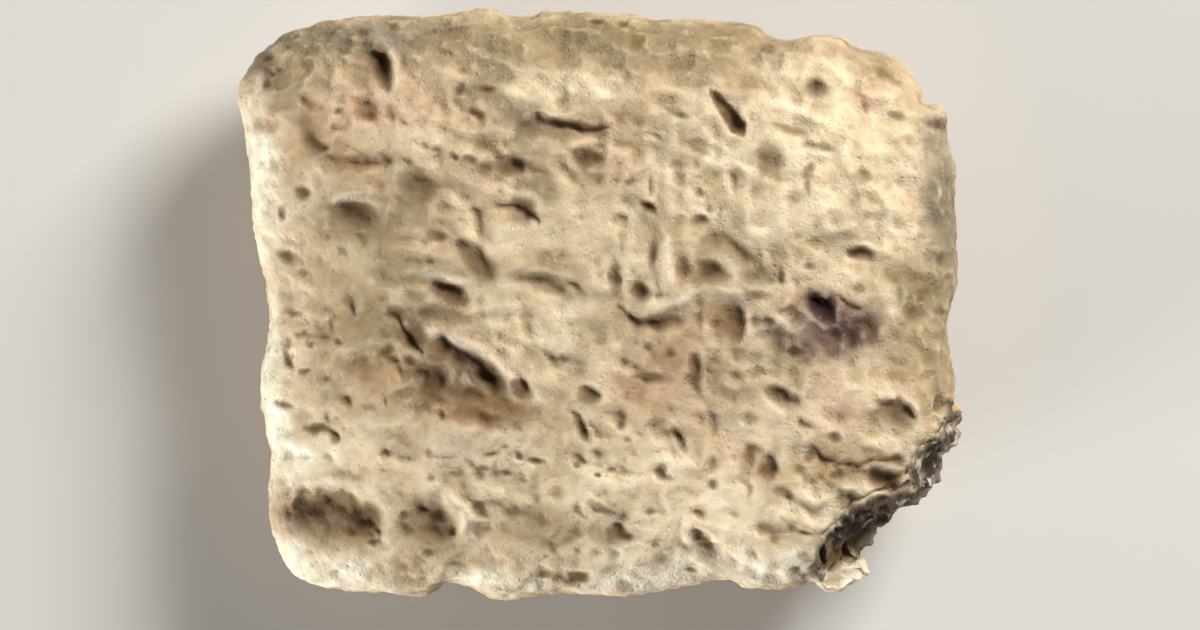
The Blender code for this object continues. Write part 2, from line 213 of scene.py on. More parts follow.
# Painted highlight falls on the least hollow places, and painted shade on the most hollow ones
PAINTED_HIGHLIGHT_BAND = (0.4, 0.0)
PAINTED_HIGHLIGHT_SHARE = 0.25
PAINTED_SHADE_BAND = (0.55, 1.0)
PAINTED_SHADE_SHARE = 0.5
BREAK_SHARE = 0.92
BREAK_CHUNK_SCALE = 700
BREAK_CHUNK_BAND = (0.35, 0.65)
BREAK_FLECK_SCALE = 620
BREAK_FLECK_BAND = (0.54, 0.62)
BREAK_FLECK_SHARE = 0.9
EARTH_PATCH_SCALE = 1300
EARTH_PATCH_BAND = (0.25, 0.6)
EARTH_PATCH_SHARES = (0.62, 0.93)
DUST_SCALE = 800
DUST_BAND = (0.3, 0.7)
CLAY_ROUGHNESS = (0.82, 0.98)
CLAY_SPECULAR = 0.25
GRAIN_CRUMB_SCALE = 1150
GRIT_SCALE = 5200
GRIT_SHARE = 0.4
PORE_SCALE = 1700
PORE_BAND = (0.05, 0.3)
PORE_SHARE = 0.25
BUMP_STRENGTH = 0.75
BUMP_DISTANCE = 0.00022

# Studio, in metres, and the photograph's frame and the tablet's width in it, in pixels
FLOOR_SIZE = 1.6
FLOOR_COLOUR = (0.62, 0.61, 0.59, 1)
FLOOR_ROUGHNESS = 0.95
FLOOR_SPECULAR = 0.1
LAMP_DISTANCE = 0.45
SURROUND_COLOUR = (0.9, 0.92, 0.95, 1)
SURROUND_STRENGTH = 0.14
IMAGE_WIDTH = 1200
TABLET_WIDTH_SEEN = 724
CAMERA_SENSOR = 36.0
CAMERA_LENS = 300.0
CAMERA_BELOW_MIDDLE = 0.0007
CAMERA_NEAREST = 0.01

# The tablet's edge seen from above, as corners of a smooth closed curve about its middle, and how
# many places the curve has for each corner
OUTLINE = (
    (-24.1, 13.7), (-23.6, 15.1), (-22.0, 16.9), (-19.8, 18.1), (-16.0, 18.9), (-11.0, 19.1),
    (-6.9, 19.4), (-6.0, 18.9), (-4.4, 18.9), (-3.4, 19.3), (0.5, 19.4), (2.6, 19.2),
    (3.9, 18.8), (7.5, 18.8), (10.4, 18.5), (11.7, 17.6), (13.1, 17.5), (14.5, 17.8),
    (16.6, 17.6), (17.4, 16.8), (19.3, 16.5), (20.8, 15.4), (21.6, 13.9), (21.9, 13.1),
    (23.3, 12.9), (23.4, 11.3), (24.0, 8.6), (24.0, 4.0), (24.1, 1.5), (23.3, -1.6),
    (24.0, -6.0), (24.1, -9.1), (23.2, -11.2), (22.8, -12.5), (21.0, -13.6), (18.4, -16.2),
    (17.3, -16.8), (18.5, -18.2), (17.0, -19.1), (15.4, -19.6), (14.2, -18.7), (13.3, -19.2),
    (10.0, -19.3), (8.5, -18.7), (5.5, -19.4), (1.3, -19.9), (-3.0, -19.6), (-6.8, -19.9),
    (-9.1, -18.9), (-10.4, -18.9), (-11.6, -19.7), (-15.5, -19.5), (-19.3, -19.0),
    (-21.0, -17.6), (-22.0, -15.2), (-22.2, -12.8), (-21.9, -10.6), (-22.5, -5.9),
    (-21.9, -2.0), (-22.0, 0.2), (-22.9, 4.5), (-23.3, 9.0),
)
OUTLINE_STEPS = 12
# The edge is measured in this many directions, and evened out over this many to each side
REACH_ANGLES = 720
SMOOTHING_ANGLES = 16
# The broken corner's edge on the face, from the right side down to the foot, and the chip's ends
BREAK_EDGE = (
    (25.0, -5.4), (23.0, -6.6), (22.3, -9.3), (21.0, -10.2), (20.6, -12.4), (17.2, -13.6),
    (15.0, -15.7), (14.1, -18.0), (13.4, -21.0),
)
CHIP_ENDS = ((15.4, -18.7), (17.7, -18.3))
# The blank is squarer at the broken corner. This comes in between the first two directions, in
# degrees, and goes out between the second two, which are written as minus the direction.
BREAK_BOTTOM_ANGLES = (-86, -46)
BREAK_SIDE_ANGLES = (-12, 24)

# A hollow in the face: turn is the direction of its length and steep that of its steepest wall,
# in degrees anticlockwise from +x. lean, from 0 to 1, moves its deepest point that way. dirt is
# how dark it has filled, and a negative depth is a bump.
Hollow = collections.namedtuple("Hollow", "x y length width turn depth steep lean dirt")

HOLLOWS = (
    # Top left corner
    Hollow(-15.6, 15.6, 4.2, 3.3, 90, 0.55, 12, 0.4, 0.2),
    Hollow(-14.7, 15.9, 3.4, 1.6, 98, 0.5, 12, 0.5, 0.95),
    Hollow(-17.3, 12.7, 0.8, 0.7, 0, 0.4, 60, 0.4, 0.6),
    Hollow(-17.5, 11.5, 0.8, 0.7, 0, 0.4, 60, 0.4, 0.5),
    Hollow(-15.5, 12.6, 2.1, 1.9, 0, 0.28, 40, 0.2, 0.3),
    Hollow(-15.6, 12.8, 0.7, 0.6, 0, -0.2, 40, 0.3, 0.0),
    Hollow(-15.3, 12.2, 1.0, 0.8, 20, 0.25, 40, 0.3, 0.5),
    Hollow(-22.0, 16.3, 1.1, 0.8, 30, 0.5, 60, 0.3, 0.9),
    Hollow(-22.2, 14.6, 1.0, 0.8, 60, 0.5, 30, 0.3, 0.9),
    Hollow(-21.7, 15.3, 0.7, 0.5, 0, 0.35, 30, 0.3, 0.7),
    Hollow(-15.7, 18.0, 1.1, 0.8, 0, 0.4, 80, 0.3, 0.6),
    Hollow(-13.7, 18.4, 1.0, 0.7, 0, 0.4, 80, 0.3, 0.6),
    # Left, from the top down
    Hollow(-19.7, 7.3, 1.7, 1.0, -15, 0.55, 70, 0.5, 0.7),
    Hollow(-21.1, 6.0, 0.8, 1.4, 0, 0.4, 20, 0.4, 0.6),
    Hollow(-16.1, 5.8, 4.3, 1.9, -8, 0.85, 80, 0.4, 0.95),
    Hollow(-15.2, 5.0, 6.0, 2.6, -14, 0.35, 80, 0.3, 0.2),
    Hollow(-11.9, 7.6, 3.6, 2.8, -38, 0.5, 50, 0.4, 0.55),
    Hollow(-20.7, 3.0, 2.0, 1.2, -20, 0.6, 60, 0.5, 0.7),
    Hollow(-19.5, 2.1, 0.9, 0.6, -20, 0.35, 60, 0.4, 0.6),
    Hollow(-20.3, -0.6, 2.0, 0.6, -10, 0.35, 80, 0.4, 0.6),
    Hollow(-19.8, -2.1, 0.9, 0.6, 20, 0.35, 70, 0.3, 0.7),
    Hollow(-19.2, -2.7, 0.8, 0.5, -30, 0.35, 70, 0.3, 0.7),
    Hollow(-18.3, -2.2, 0.9, 0.5, 10, 0.35, 80, 0.3, 0.6),
    Hollow(-17.3, -2.5, 0.8, 0.6, 0, 0.3, 70, 0.3, 0.6),
    Hollow(-17.7, -1.3, 0.5, 1.4, 0, 0.3, 10, 0.3, 0.5),
    Hollow(-20.6, -3.8, 2.0, 0.6, -60, 0.45, 30, 0.4, 0.8),
    Hollow(-19.5, -4.5, 0.9, 0.6, 0, 0.35, 60, 0.3, 0.7),
    Hollow(-21.0, -6.8, 1.5, 0.7, -8, 0.5, 80, 0.5, 0.85),
    Hollow(-18.6, -8.4, 2.7, 0.8, -6, 0.55, 85, 0.6, 0.8),
    Hollow(-17.6, -8.9, 0.8, 1.4, 10, 0.4, 30, 0.4, 0.6),
    # Upper middle
    Hollow(-9.2, 14.2, 1.1, 0.7, 0, 0.45, 80, 0.5, 0.8),
    Hollow(-7.2, 14.2, 1.3, 0.7, 0, 0.45, 80, 0.5, 0.8),
    Hollow(-8.0, 12.5, 1.6, 0.7, -5, 0.35, 80, 0.4, 0.5),
    Hollow(-10.7, 10.1, 1.2, 0.6, -20, 0.4, 75, 0.4, 0.6),
    Hollow(-9.5, 9.7, 1.0, 0.6, -20, 0.4, 75, 0.4, 0.6),
    Hollow(-8.5, 9.5, 1.3, 0.8, -30, 0.45, 70, 0.4, 0.6),
    Hollow(-10.1, 10.8, 1.6, 0.6, -10, -0.2, 0, 0.0, 0.0),
    Hollow(-8.7, 11.3, 1.6, 0.6, -10, -0.2, 0, 0.0, 0.0),
    Hollow(-2.6, 11.4, 4.6, 1.9, -8, 0.5, 90, 0.5, 0.35),
    Hollow(-4.5, 11.6, 2.6, 2.0, -20, 0.4, 70, 0.4, 0.4),
    Hollow(-0.7, 9.7, 2.8, 1.8, -5, 0.6, 75, 0.2, 1.0),
    Hollow(-1.0, 9.8, 0.9, 0.6, -5, -0.2, 0, 0.0, 0.0),
    Hollow(-5.9, 9.1, 3.3, 1.5, -4, 0.65, 80, 0.4, 0.85),
    Hollow(-7.4, 8.9, 1.5, 1.1, -15, 0.45, 80, 0.4, 0.6),
    Hollow(-5.3, 6.1, 2.5, 2.6, -25, 0.7, 45, 0.6, 0.6),
    Hollow(-8.1, 2.8, 4.4, 1.9, -36, 0.5, 54, 0.3, 0.65),
    Hollow(-9.0, 3.8, 1.7, 1.0, -35, 0.3, 60, 0.3, 0.8),
    Hollow(-7.3, 2.2, 1.8, 1.4, -45, 0.3, 48, 0.3, 0.5),
    Hollow(-10.7, 4.5, 1.7, 1.0, -20, 0.45, 60, 0.4, 0.6),
    Hollow(-3.3, 1.2, 7.4, 1.7, -14, 0.4, 76, 0.5, 0.2),
    Hollow(3.3, 6.3, 1.5, 0.9, -40, 0.8, 50, 0.4, 0.9),
    Hollow(3.5, 7.9, 2.0, 0.5, 90, 0.35, 0, 0.3, 0.4),
    Hollow(2.1, 8.0, 0.8, 0.6, 0, 0.3, 60, 0.3, 0.5),
    Hollow(6.7, 7.3, 0.8, 0.6, 0, 0.35, 60, 0.3, 0.5),
    Hollow(7.3, 6.3, 0.8, 0.6, 0, 0.35, 60, 0.3, 0.5),
    Hollow(6.7, 5.5, 1.5, 1.0, -15, 0.45, 60, 0.4, 0.6),
    Hollow(5.3, 12.6, 2.6, 0.7, -24, 0.4, 66, 0.4, 0.4),
    Hollow(6.7, 10.3, 2.3, 0.7, -15, 0.35, 75, 0.4, 0.4),
    # Centre
    Hollow(1.0, 1.6, 1.1, 3.4, 8, 0.6, 20, 0.4, 0.6),
    Hollow(2.7, 0.7, 2.0, 1.6, -20, 0.65, 40, 0.4, 0.65),
    Hollow(2.4, 2.5, 1.9, 1.5, -10, -0.35, 0, 0.0, 0.0),
    Hollow(3.6, 3.3, 0.7, 3.0, 0, 0.3, 0, 0.3, 0.4),
    Hollow(4.2, -1.3, 3.6, 1.3, -4, 0.5, 88, 0.5, 0.5),
    Hollow(3.2, -2.8, 0.9, 0.7, 0, 0.35, 60, 0.3, 0.5),
    Hollow(4.8, -3.3, 0.9, 0.7, 0, 0.35, 60, 0.3, 0.5),
    Hollow(6.3, -4.7, 1.3, 3.4, 0, 0.6, 15, 0.5, 0.6),
    Hollow(3.6, -5.0, 3.4, 1.0, -6, 0.5, 85, 0.5, 0.6),
    Hollow(7.4, 2.1, 2.1, 2.0, 0, 0.5, 40, 0.2, 0.95),
    Hollow(7.3, 2.2, 0.8, 0.7, 0, -0.2, 0, 0.0, 0.0),
    Hollow(5.6, 2.4, 1.4, 1.6, 10, 0.35, 40, 0.3, 0.3),
    Hollow(8.9, -1.5, 2.0, 3.1, 10, 0.8, 30, 0.5, 0.6),
    Hollow(-3.1, -3.7, 2.3, 0.9, -42, 0.3, 48, 0.4, 0.3),
    Hollow(-0.7, -6.2, 2.1, 1.5, -20, 0.85, 60, 0.5, 0.75),
    Hollow(-1.1, -8.3, 2.5, 1.0, -62, 0.75, 30, 0.5, 0.8),
    Hollow(1.6, -8.2, 0.9, 0.7, 0, 0.4, 60, 0.3, 0.6),
    Hollow(1.9, -9.0, 0.7, 0.5, 0, 0.3, 60, 0.3, 0.5),
    Hollow(5.4, -9.0, 2.5, 0.7, -59, 0.45, 30, 0.4, 0.6),
    Hollow(-10.0, 0.6, 4.2, 1.8, -18, 0.7, 75, 0.5, 0.95),
    Hollow(-12.2, 0.5, 2.0, 1.0, -10, 0.4, 80, 0.4, 0.4),
    Hollow(-10.0, -0.9, 4.0, 1.8, -15, 0.4, 80, 0.3, 0.3),
    Hollow(-13.6, -0.8, 1.8, 1.3, -20, 0.5, 60, 0.4, 0.6),
    Hollow(-14.0, -3.2, 1.4, 1.0, 20, 0.5, 60, 0.4, 0.8),
    Hollow(-12.4, -3.9, 1.3, 1.0, -20, 0.5, 60, 0.4, 0.8),
    Hollow(-12.2, -2.3, 2.6, 2.0, -40, 0.45, 50, 0.2, 0.75),
    Hollow(-10.9, -3.7, 1.2, 0.8, -20, 0.3, 60, 0.3, 0.4),
    Hollow(-10.1, -3.1, 2.3, 1.5, -28, 0.7, 60, 0.4, 0.95),
    Hollow(-9.1, -3.8, 2.2, 1.7, -33, 0.55, 57, 0.3, 0.95),
    Hollow(-7.3, -5.0, 3.9, 2.1, -38, 1.4, 52, 0.5, 1.0),
    Hollow(-11.0, -5.4, 3.0, 2.0, 80, 0.3, 40, 0.0, 1.0),
    Hollow(-8.6, -6.0, 4.6, 1.6, -18, 0.35, 40, 0.0, 0.55),
    Hollow(-5.1, -5.7, 2.5, 1.7, -60, 0.6, 30, 0.4, 0.9),
    Hollow(-6.9, -7.2, 8.2, 2.9, -8, 0.5, 85, 0.1, 0.3),
    Hollow(-16.0, -4.2, 4.2, 1.2, -8, 0.35, 82, 0.4, 0.3),
    # Upper right
    Hollow(14.3, 14.2, 2.2, 1.9, -10, 0.55, 50, 0.4, 0.45),
    Hollow(17.7, 13.3, 0.7, 1.6, 10, 0.3, 20, 0.3, 0.4),
    Hollow(19.0, 15.2, 1.5, 1.1, -30, 0.35, 60, 0.3, 0.4),
    Hollow(19.8, 12.5, 1.8, 0.8, -20, 0.35, 70, 0.4, 0.5),
    Hollow(22.6, 11.9, 0.8, 0.7, 0, 0.4, 60, 0.3, 0.9),
    Hollow(12.7, 11.5, 3.1, 0.8, -21, 0.4, 69, 0.5, 0.35),
    Hollow(14.6, 10.3, 3.7, 0.8, -10, 0.4, 80, 0.5, 0.5),
    Hollow(11.3, 9.5, 2.2, 3.2, 10, 0.4, 30, 0.3, 0.3),
    Hollow(13.9, 8.7, 1.1, 1.1, 0, 0.5, 60, 0.4, 0.6),
    Hollow(13.9, 7.8, 0.6, 1.6, 0, 0.3, 10, 0.3, 0.4),
    Hollow(17.5, 8.5, 1.6, 1.1, -20, 0.35, 60, 0.4, 0.3),
    Hollow(9.1, 8.7, 1.6, 1.2, -10, 0.4, 60, 0.4, 0.3),
    Hollow(11.2, 17.0, 1.7, 0.9, -10, 0.4, 80, 0.4, 0.6),
    Hollow(-0.1, 18.7, 1.4, 0.7, 0, 0.5, 85, 0.4, 0.8),
    Hollow(1.7, 18.7, 1.0, 0.6, 0, 0.45, 85, 0.4, 0.8),
    # Right of the centre
    Hollow(17.3, 3.3, 2.7, 1.3, -12, 0.75, 75, 0.65, 0.8),
    Hollow(17.2, 1.0, 1.2, 0.7, -10, 0.4, 75, 0.4, 0.5),
    Hollow(10.4, 0.6, 2.3, 0.7, -22, 0.5, 68, 0.4, 0.7),
    Hollow(12.1, 1.8, 0.6, 1.5, 5, 0.35, 20, 0.3, 0.5),
    Hollow(14.0, 2.5, 1.0, 0.7, -10, 0.4, 70, 0.4, 0.5),
    Hollow(15.0, -0.5, 2.6, 1.8, -38, 0.75, 50, 0.3, 0.0),
    Hollow(15.7, -2.1, 5.4, 3.2, -14, 0.45, 60, 0.2, 0.0),
    Hollow(16.3, -2.3, 1.6, 1.1, -20, 0.25, 60, 0.3, 0.2),
    Hollow(15.3, -3.2, 1.3, 0.8, -10, 0.2, 60, 0.3, 0.3),
    Hollow(17.8, -1.7, 1.6, 1.4, -25, 0.4, 40, 0.3, 0.35),
    Hollow(13.1, -3.3, 1.3, 1.0, -10, 0.45, 60, 0.4, 0.6),
    Hollow(13.7, -3.9, 0.9, 0.6, 0, 0.3, 60, 0.3, 0.5),
    Hollow(11.9, -2.4, 2.5, 2.4, -15, 0.35, 50, 0.3, 0.2),
    Hollow(11.2, -1.2, 1.0, 0.7, -30, 0.4, 60, 0.4, 0.7),
    Hollow(12.7, -0.3, 0.9, 0.6, -20, 0.35, 60, 0.4, 0.6),
    Hollow(21.0, -0.7, 2.3, 1.3, -15, 0.4, 75, 0.4, 0.5),
    Hollow(22.7, -0.5, 0.9, 0.9, 0, 0.35, 60, 0.3, 0.6),
    Hollow(12.2, -6.3, 3.1, 1.6, -22, 0.65, 68, 0.5, 0.6),
    Hollow(19.6, -7.4, 3.6, 2.1, -36, 0.75, 54, 0.4, 0.75),
    # Lower left
    Hollow(-17.7, -14.6, 8.2, 4.6, -4, 1.1, 88, 0.6, 0.45),
    Hollow(-19.2, -13.9, 4.8, 2.0, 6, 0.6, 85, 0.6, 0.9),
    Hollow(-15.7, -14.5, 3.2, 3.4, -30, 0.6, 45, 0.6, 0.75),
    Hollow(-16.4, -15.2, 1.1, 0.8, -30, 0.4, 60, 0.4, 0.9),
    Hollow(-15.0, -15.8, 0.9, 0.7, -30, 0.35, 60, 0.4, 0.8),
    Hollow(-18.4, -15.4, 1.6, 1.2, 10, -0.4, 0, 0.0, 0.0),
    Hollow(-11.3, -14.9, 4.8, 4.3, -10, 0.9, 45, 0.5, 0.3),
    Hollow(-11.7, -13.8, 1.3, 0.8, -10, 0.45, 70, 0.4, 0.9),
    Hollow(-12.8, -14.1, 0.8, 0.7, 0, 0.35, 70, 0.4, 0.8),
    Hollow(-9.8, -15.1, 0.9, 1.2, 10, 0.4, 20, 0.4, 0.8),
    Hollow(-11.3, -16.4, 1.2, 0.8, -20, 0.35, 60, 0.3, 0.7),
    Hollow(-9.5, -11.3, 0.8, 0.5, -10, 0.3, 70, 0.3, 0.6),
    Hollow(-11.0, -11.7, 0.8, 0.5, -10, 0.3, 70, 0.3, 0.6),
    # Bottom middle
    Hollow(-7.1, -9.9, 1.5, 0.5, 15, 0.35, 80, 0.3, 0.6),
    Hollow(-6.2, -9.5, 0.7, 0.5, 0, 0.3, 70, 0.3, 0.6),
    Hollow(-7.5, -10.8, 0.9, 0.5, -10, 0.3, 70, 0.3, 0.6),
    Hollow(-6.1, -11.3, 0.9, 0.5, -10, 0.3, 70, 0.3, 0.6),
    Hollow(-4.9, -11.7, 0.9, 0.6, -20, 0.35, 70, 0.3, 0.6),
    Hollow(-4.0, -14.8, 8.4, 3.8, -6, 0.3, 85, 0.2, 0.15),
    Hollow(-1.3, -18.2, 2.3, 0.9, -8, 0.6, 82, 0.5, 0.9),
    Hollow(-3.6, -17.9, 1.3, 0.8, -8, 0.45, 82, 0.4, 0.7),
    Hollow(0.2, -13.6, 2.5, 0.8, -30, 0.5, 60, 0.5, 0.5),
    Hollow(1.3, -15.5, 2.5, 1.6, -15, 0.6, 65, 0.5, 0.5),
    Hollow(7.0, -16.0, 2.5, 1.1, -45, 0.85, 45, 0.5, 0.9),
    Hollow(4.1, -16.8, 1.3, 0.9, -20, 0.35, 60, 0.3, 0.4),
    Hollow(3.7, -15.9, 0.9, 0.6, -20, 0.3, 60, 0.3, 0.5),
    Hollow(3.5, -13.9, 0.9, 0.7, -20, 0.35, 60, 0.3, 0.6),
    Hollow(7.5, -11.9, 1.0, 0.8, -20, 0.4, 60, 0.4, 0.6),
    Hollow(0.0, -11.5, 0.7, 0.5, -20, 0.3, 60, 0.3, 0.6),
    Hollow(0.8, -11.1, 0.7, 0.5, -20, 0.3, 60, 0.3, 0.6),
    Hollow(-1.5, -10.7, 0.8, 0.6, -20, 0.35, 60, 0.3, 0.6),
    Hollow(4.3, -10.7, 0.9, 0.7, -20, 0.35, 60, 0.3, 0.5),
    Hollow(6.2, -17.8, 1.0, 0.6, -10, 0.35, 80, 0.3, 0.5),
    # Lower right
    Hollow(15.5, -8.9, 1.2, 1.0, -20, 0.5, 60, 0.4, 0.8),
    Hollow(11.1, -11.1, 1.9, 1.7, -10, 0.8, 60, 0.45, 0.85),
    Hollow(9.7, -10.3, 1.3, 2.4, -15, 0.4, 20, 0.4, 0.4),
    Hollow(12.2, -12.5, 1.9, 0.9, -15, 0.5, 70, 0.4, 0.6),
    Hollow(13.9, -10.3, 1.0, 0.7, -20, 0.4, 60, 0.3, 0.6),
    Hollow(15.8, -11.3, 1.2, 0.9, -20, 0.45, 60, 0.3, 0.7),
    Hollow(14.3, -11.7, 0.9, 0.7, 0, 0.4, 60, 0.3, 0.6),
    Hollow(19.9, -10.3, 1.3, 0.9, -20, 0.45, 60, 0.3, 0.7),
    Hollow(18.9, -11.8, 3.2, 1.7, -8, 0.75, 80, 0.4, 0.7),
    Hollow(16.4, -13.2, 2.3, 1.0, -50, 0.5, 40, 0.4, 0.5),
    Hollow(11.7, -15.5, 1.0, 0.7, -20, 0.3, 60, 0.3, 0.4),
    Hollow(10.3, -16.6, 1.0, 0.7, -20, 0.25, 60, 0.3, 0.3),
    Hollow(13.5, -16.9, 1.2, 0.8, -20, 0.3, 60, 0.3, 0.4),
    Hollow(15.6, -16.9, 3.8, 1.9, 32, 4.2, 120, 0.1, 0.9),
)

# A low step in the face. Its points run so that the sunk side is on the right of the way they go.
# reach is how far the sunk side takes to rise again, and the upper side has a small raised lip.
Step = collections.namedtuple("Step", "points depth reach")

STEPS = (
    Step(((-15.5, 17.7), (-14.7, 17.2), (-14.2, 16.3), (-14.0, 15.3), (-14.1, 13.8)), 0.8, 1.0),
    Step(((-18.4, 9.8), (-17.2, 9.6), (-15.6, 9.5), (-13.4, 9.5)), 0.25, 0.9),
    Step(((-4.9, 12.8), (-3.5, 12.5), (-2.3, 12.0), (-0.5, 11.9), (1.4, 11.9)), 0.8, 0.9),
    Step(((-7.5, 7.2), (-4.8, 6.5), (-4.1, 5.6), (-3.9, 4.2)), 0.45, 0.8),
    Step(((-14.2, -0.1), (-12.0, -2.2), (-11.6, -3.0), (-11.5, -4.2)), 0.4, 0.8),
    Step(((-17.4, -12.2), (-16.2, -12.9), (-15.5, -13.9)), 0.5, 0.8),
    Step(((-15.5, -14.0), (-14.4, -15.0), (-14.1, -16.5)), 0.5, 0.9),
    Step(((-10.4, -12.6), (-9.2, -13.6), (-8.6, -15.5)), 0.5, 1.0),
    Step(((1.2, 11.4), (3.3, 11.5), (5.1, 10.3)), 0.3, 0.8),
    Step(((0.6, 0.2), (1.6, -0.3), (2.9, -0.7), (4.6, -0.5)), 0.5, 1.0),
    Step(((-7.0, 2.0), (-4.5, 2.2), (-1.5, 1.3), (0.6, 0.2)), 0.15, 1.3),
    Step(((9.2, -9.2), (10.6, -9.5), (12.2, -10.6)), 0.35, 0.8),
    Step(((13.5, -9.0), (15.2, -10.4), (17.5, -10.5), (20.4, -10.0)), 0.35, 0.9),
    Step(((10.8, -0.9), (12.4, -0.4), (13.9, 0.3), (16.0, 0.6), (18.6, -0.4)), 0.35, 1.0),
    Step(((-20.9, -12.6), (-18.6, -12.4), (-16.9, -12.6)), 0.4, 1.0),
    Step(((10.2, -5.2), (12.2, -5.6), (13.8, -6.9)), 0.15, 0.7),
    Step(((17.8, -6.2), (19.8, -6.6), (21.2, -8.2)), 0.35, 0.7),
    Step(((-13.0, 18.2), (-9.5, 18.6), (-6.6, 18.3)), 0.3, 0.7),
    Step(((-3.9, 18.7), (-1.0, 18.3), (2.6, 18.4), (5.8, 17.9)), 0.3, 0.7),
)
STEP_LIP = 0.3
STEP_LIP_REACH = 0.45
STEP_FACE = 0.22
# A step runs out over this share of its length at each end
STEP_END = 0.25

# A narrow ridge: its points, height and width. A height below zero makes it a groove.
Ridge = collections.namedtuple("Ridge", "points height width")

RIDGES = (
    Ridge(
        ((-19.6, 12.9), (-19.3, 11.3), (-18.7, 10.1), (-17.6, 9.6), (-15.8, 9.5), (-13.7, 9.5)),
        -0.3,
        1.0,
    ),
    Ridge(((4.3, 5.0), (4.5, 2.6), (4.9, 0.5)), 1.05, 1.1),
    Ridge(((2.0, -0.3), (4.1, 0.0), (6.7, 0.6), (8.9, 0.7), (11.2, 0.2)), 0.9, 1.1),
    Ridge(((8.1, 3.1), (8.9, 2.6), (9.1, 1.7), (8.5, 0.9)), 0.15, 0.8),
    Ridge(((6.4, 3.3), (7.2, 4.0), (8.3, 4.1), (9.3, 3.4), (9.9, 2.4)), -0.28, 1.0),
    Ridge(((16.0, -12.0), (18.0, -13.1), (20.1, -13.0)), 0.35, 0.7),
    Ridge(((-10.3, -12.6), (-9.1, -13.7), (-8.5, -15.6)), 0.5, 1.0),
    Ridge(((11.3, -0.4), (12.2, -1.3), (12.8, -2.3)), 0.25, 0.6),
    Ridge(((-7.4, 7.8), (-5.6, 7.6), (-4.2, 6.9)), 0.22, 0.6),
    Ridge(((-13.2, -1.6), (-11.0, -2.0), (-8.2, -2.9), (-5.8, -4.5)), 0.22, 0.8),
)
RIDGE_START = (-0.05, 0.25)
RIDGE_FINISH = (-1.05, -0.75)

# The one deep wedge near the top keeps its sharp shape: its head is at the lower right
WEDGE_HEAD = (9.4, 11.3)
WEDGE_TURN = 127
WEDGE_LENGTH = 3.4
WEDGE_WIDTH = 1.35
WEDGE_DEPTH = 0.7
WEDGE_FULLNESS = 2.2


def tone(red, green, blue):
    """A colour from 0 to 255 a channel, as the eye reads it, turned to linear light."""
    shares = np.array([red, green, blue]) / 255
    return np.where(shares <= 0.04045, shares / 12.92, ((shares + 0.055) / 1.055) ** 2.4)


CLAY = tone(201, 178, 147)
CREAM = tone(236, 220, 190)
# Near white: painted light on the edges and the chip, and pale wear with painted highlight on lips and
# ridges
PAINTED_LIGHT_AND_WEAR = tone(247, 241, 221)
OLIVE = tone(148, 131, 98)
GREY_OLIVE = tone(133, 123, 102)
RUST = tone(162, 126, 84)
PINK = tone(214, 178, 152)
PURPLE = tone(118, 92, 88)
MAROON = tone(48, 24, 22)
SILT = tone(134, 112, 82)
DARK_EARTH = tone(76, 52, 32)
PALE_GREY = tone(206, 193, 172)
BROWN_EARTH = tone(108, 88, 64)
# The broken face's own darker clay, deepened with painted shade, and its pale flecks
BREAK_DARK_AND_PAINTED_SHADE = tone(34, 26, 21)
BREAK_BROWN = tone(96, 82, 71)
BREAK_FLECK = tone(200, 188, 179)
SALT = (0.86, 0.79, 0.64)
SPECK = (0.2, 0.13, 0.065)
# Tones that the clay is multiplied by: in its mottling, and as painted shade in its hollows
MOTTLING_SHADE = (0.68, 0.62, 0.52)
PAINTED_HOLLOW_SHADE = (0.42, 0.34, 0.24)

# Three washes over the whole tablet, each of two noises: their sizes, or how much finer than the
# flow lines, how much of the tone is laid down at most, and where it begins and is full
PALE_WASH = 0.6
PALE_WASH_SIZES = (5.5, 2.3)
PALE_WASH_FINE = 0.6
PALE_WASH_BAND = (-0.5, 0.7)
GREY_WASH = 0.5
GREY_WASH_FINENESS = 1.5
GREY_WASH_SIZE = 1.1
GREY_WASH_BAND = (0.05, 0.8)
RUDDY_WASH = 0.22
RUDDY_WASH_FINENESS = 1.2
RUDDY_WASH_SIZE = 1.4
RUDDY_WASH_BAND = (0.15, 0.9)
FLOW_WASH_FINE = 0.5
# Stains and painted light have wandering, frayed edges, and so has the silt in the marks, by less
PAINT_SLOPES = (-0.1, 0.3)
PAINT_WANDER_SIZE = 1.9
PAINT_FRAY_SIZE = 0.7
STAIN_AND_LIGHT_WANDER = 0.55
STAIN_AND_LIGHT_FRAY = 0.25
SILT_WANDER = 0.15
SILT_FRAY = 0.12
# A stain or a patch of painted light covers more than its strength at its middle, up to a limit, and
# fades out over this band
STAIN_AND_LIGHT_GAIN = 1.25
MOST_COVER = 0.95
STAIN_AND_LIGHT_BAND = (-1.4, -0.3)
# Where a mark fills with silt and with dirt, as shares of its depth
SILT_POWER = 0.6
SILT_BAND = (0.0, 0.5)
DIRT_BAND = (0.2, 1.0)
GROOVE_SILT = 0.9
WEDGE_SILT_BAND = (0.0, 0.3)
WEDGE_DIRT = 0.8
WEDGE_DIRT_BAND = (0.1, 0.6)
# How pale a lip or a ridge is painted, as wear and painted highlight: the deeper its hollow and the
# cleaner it is, the paler
LIP_WEAR_AND_HIGHLIGHT_DEPTHS = (0.3, 0.8)
RIDGE_WEAR_AND_HIGHLIGHT = 0.75
WEAR_AND_HIGHLIGHT_COVER = 0.5
WEAR_AND_HIGHLIGHT_UNDER_SILT = (0.0, 0.6)
# How sunk each place is beside the surface smoothed over this many rounds, and how strongly it counts
HOLLOWNESS_ROUNDS = (6, 40)
HOLLOWNESS_GAIN = 3
# Far past the break's edge the old skin shows again, in patches
RIM_FRAY = 0.3
RIM_BAND = (1.7, 2.4)
RIM_CLEAN = 0.75
RIM_PATCH_SIZE = 1.3
RIM_PATCH_BAND = (-0.5, 0.3)

# A soft-edged patch laid on the clay: a stain, or painted light or shade
StainAndPaintedLight = collections.namedtuple("StainAndPaintedLight", "x y length width turn colour strength")

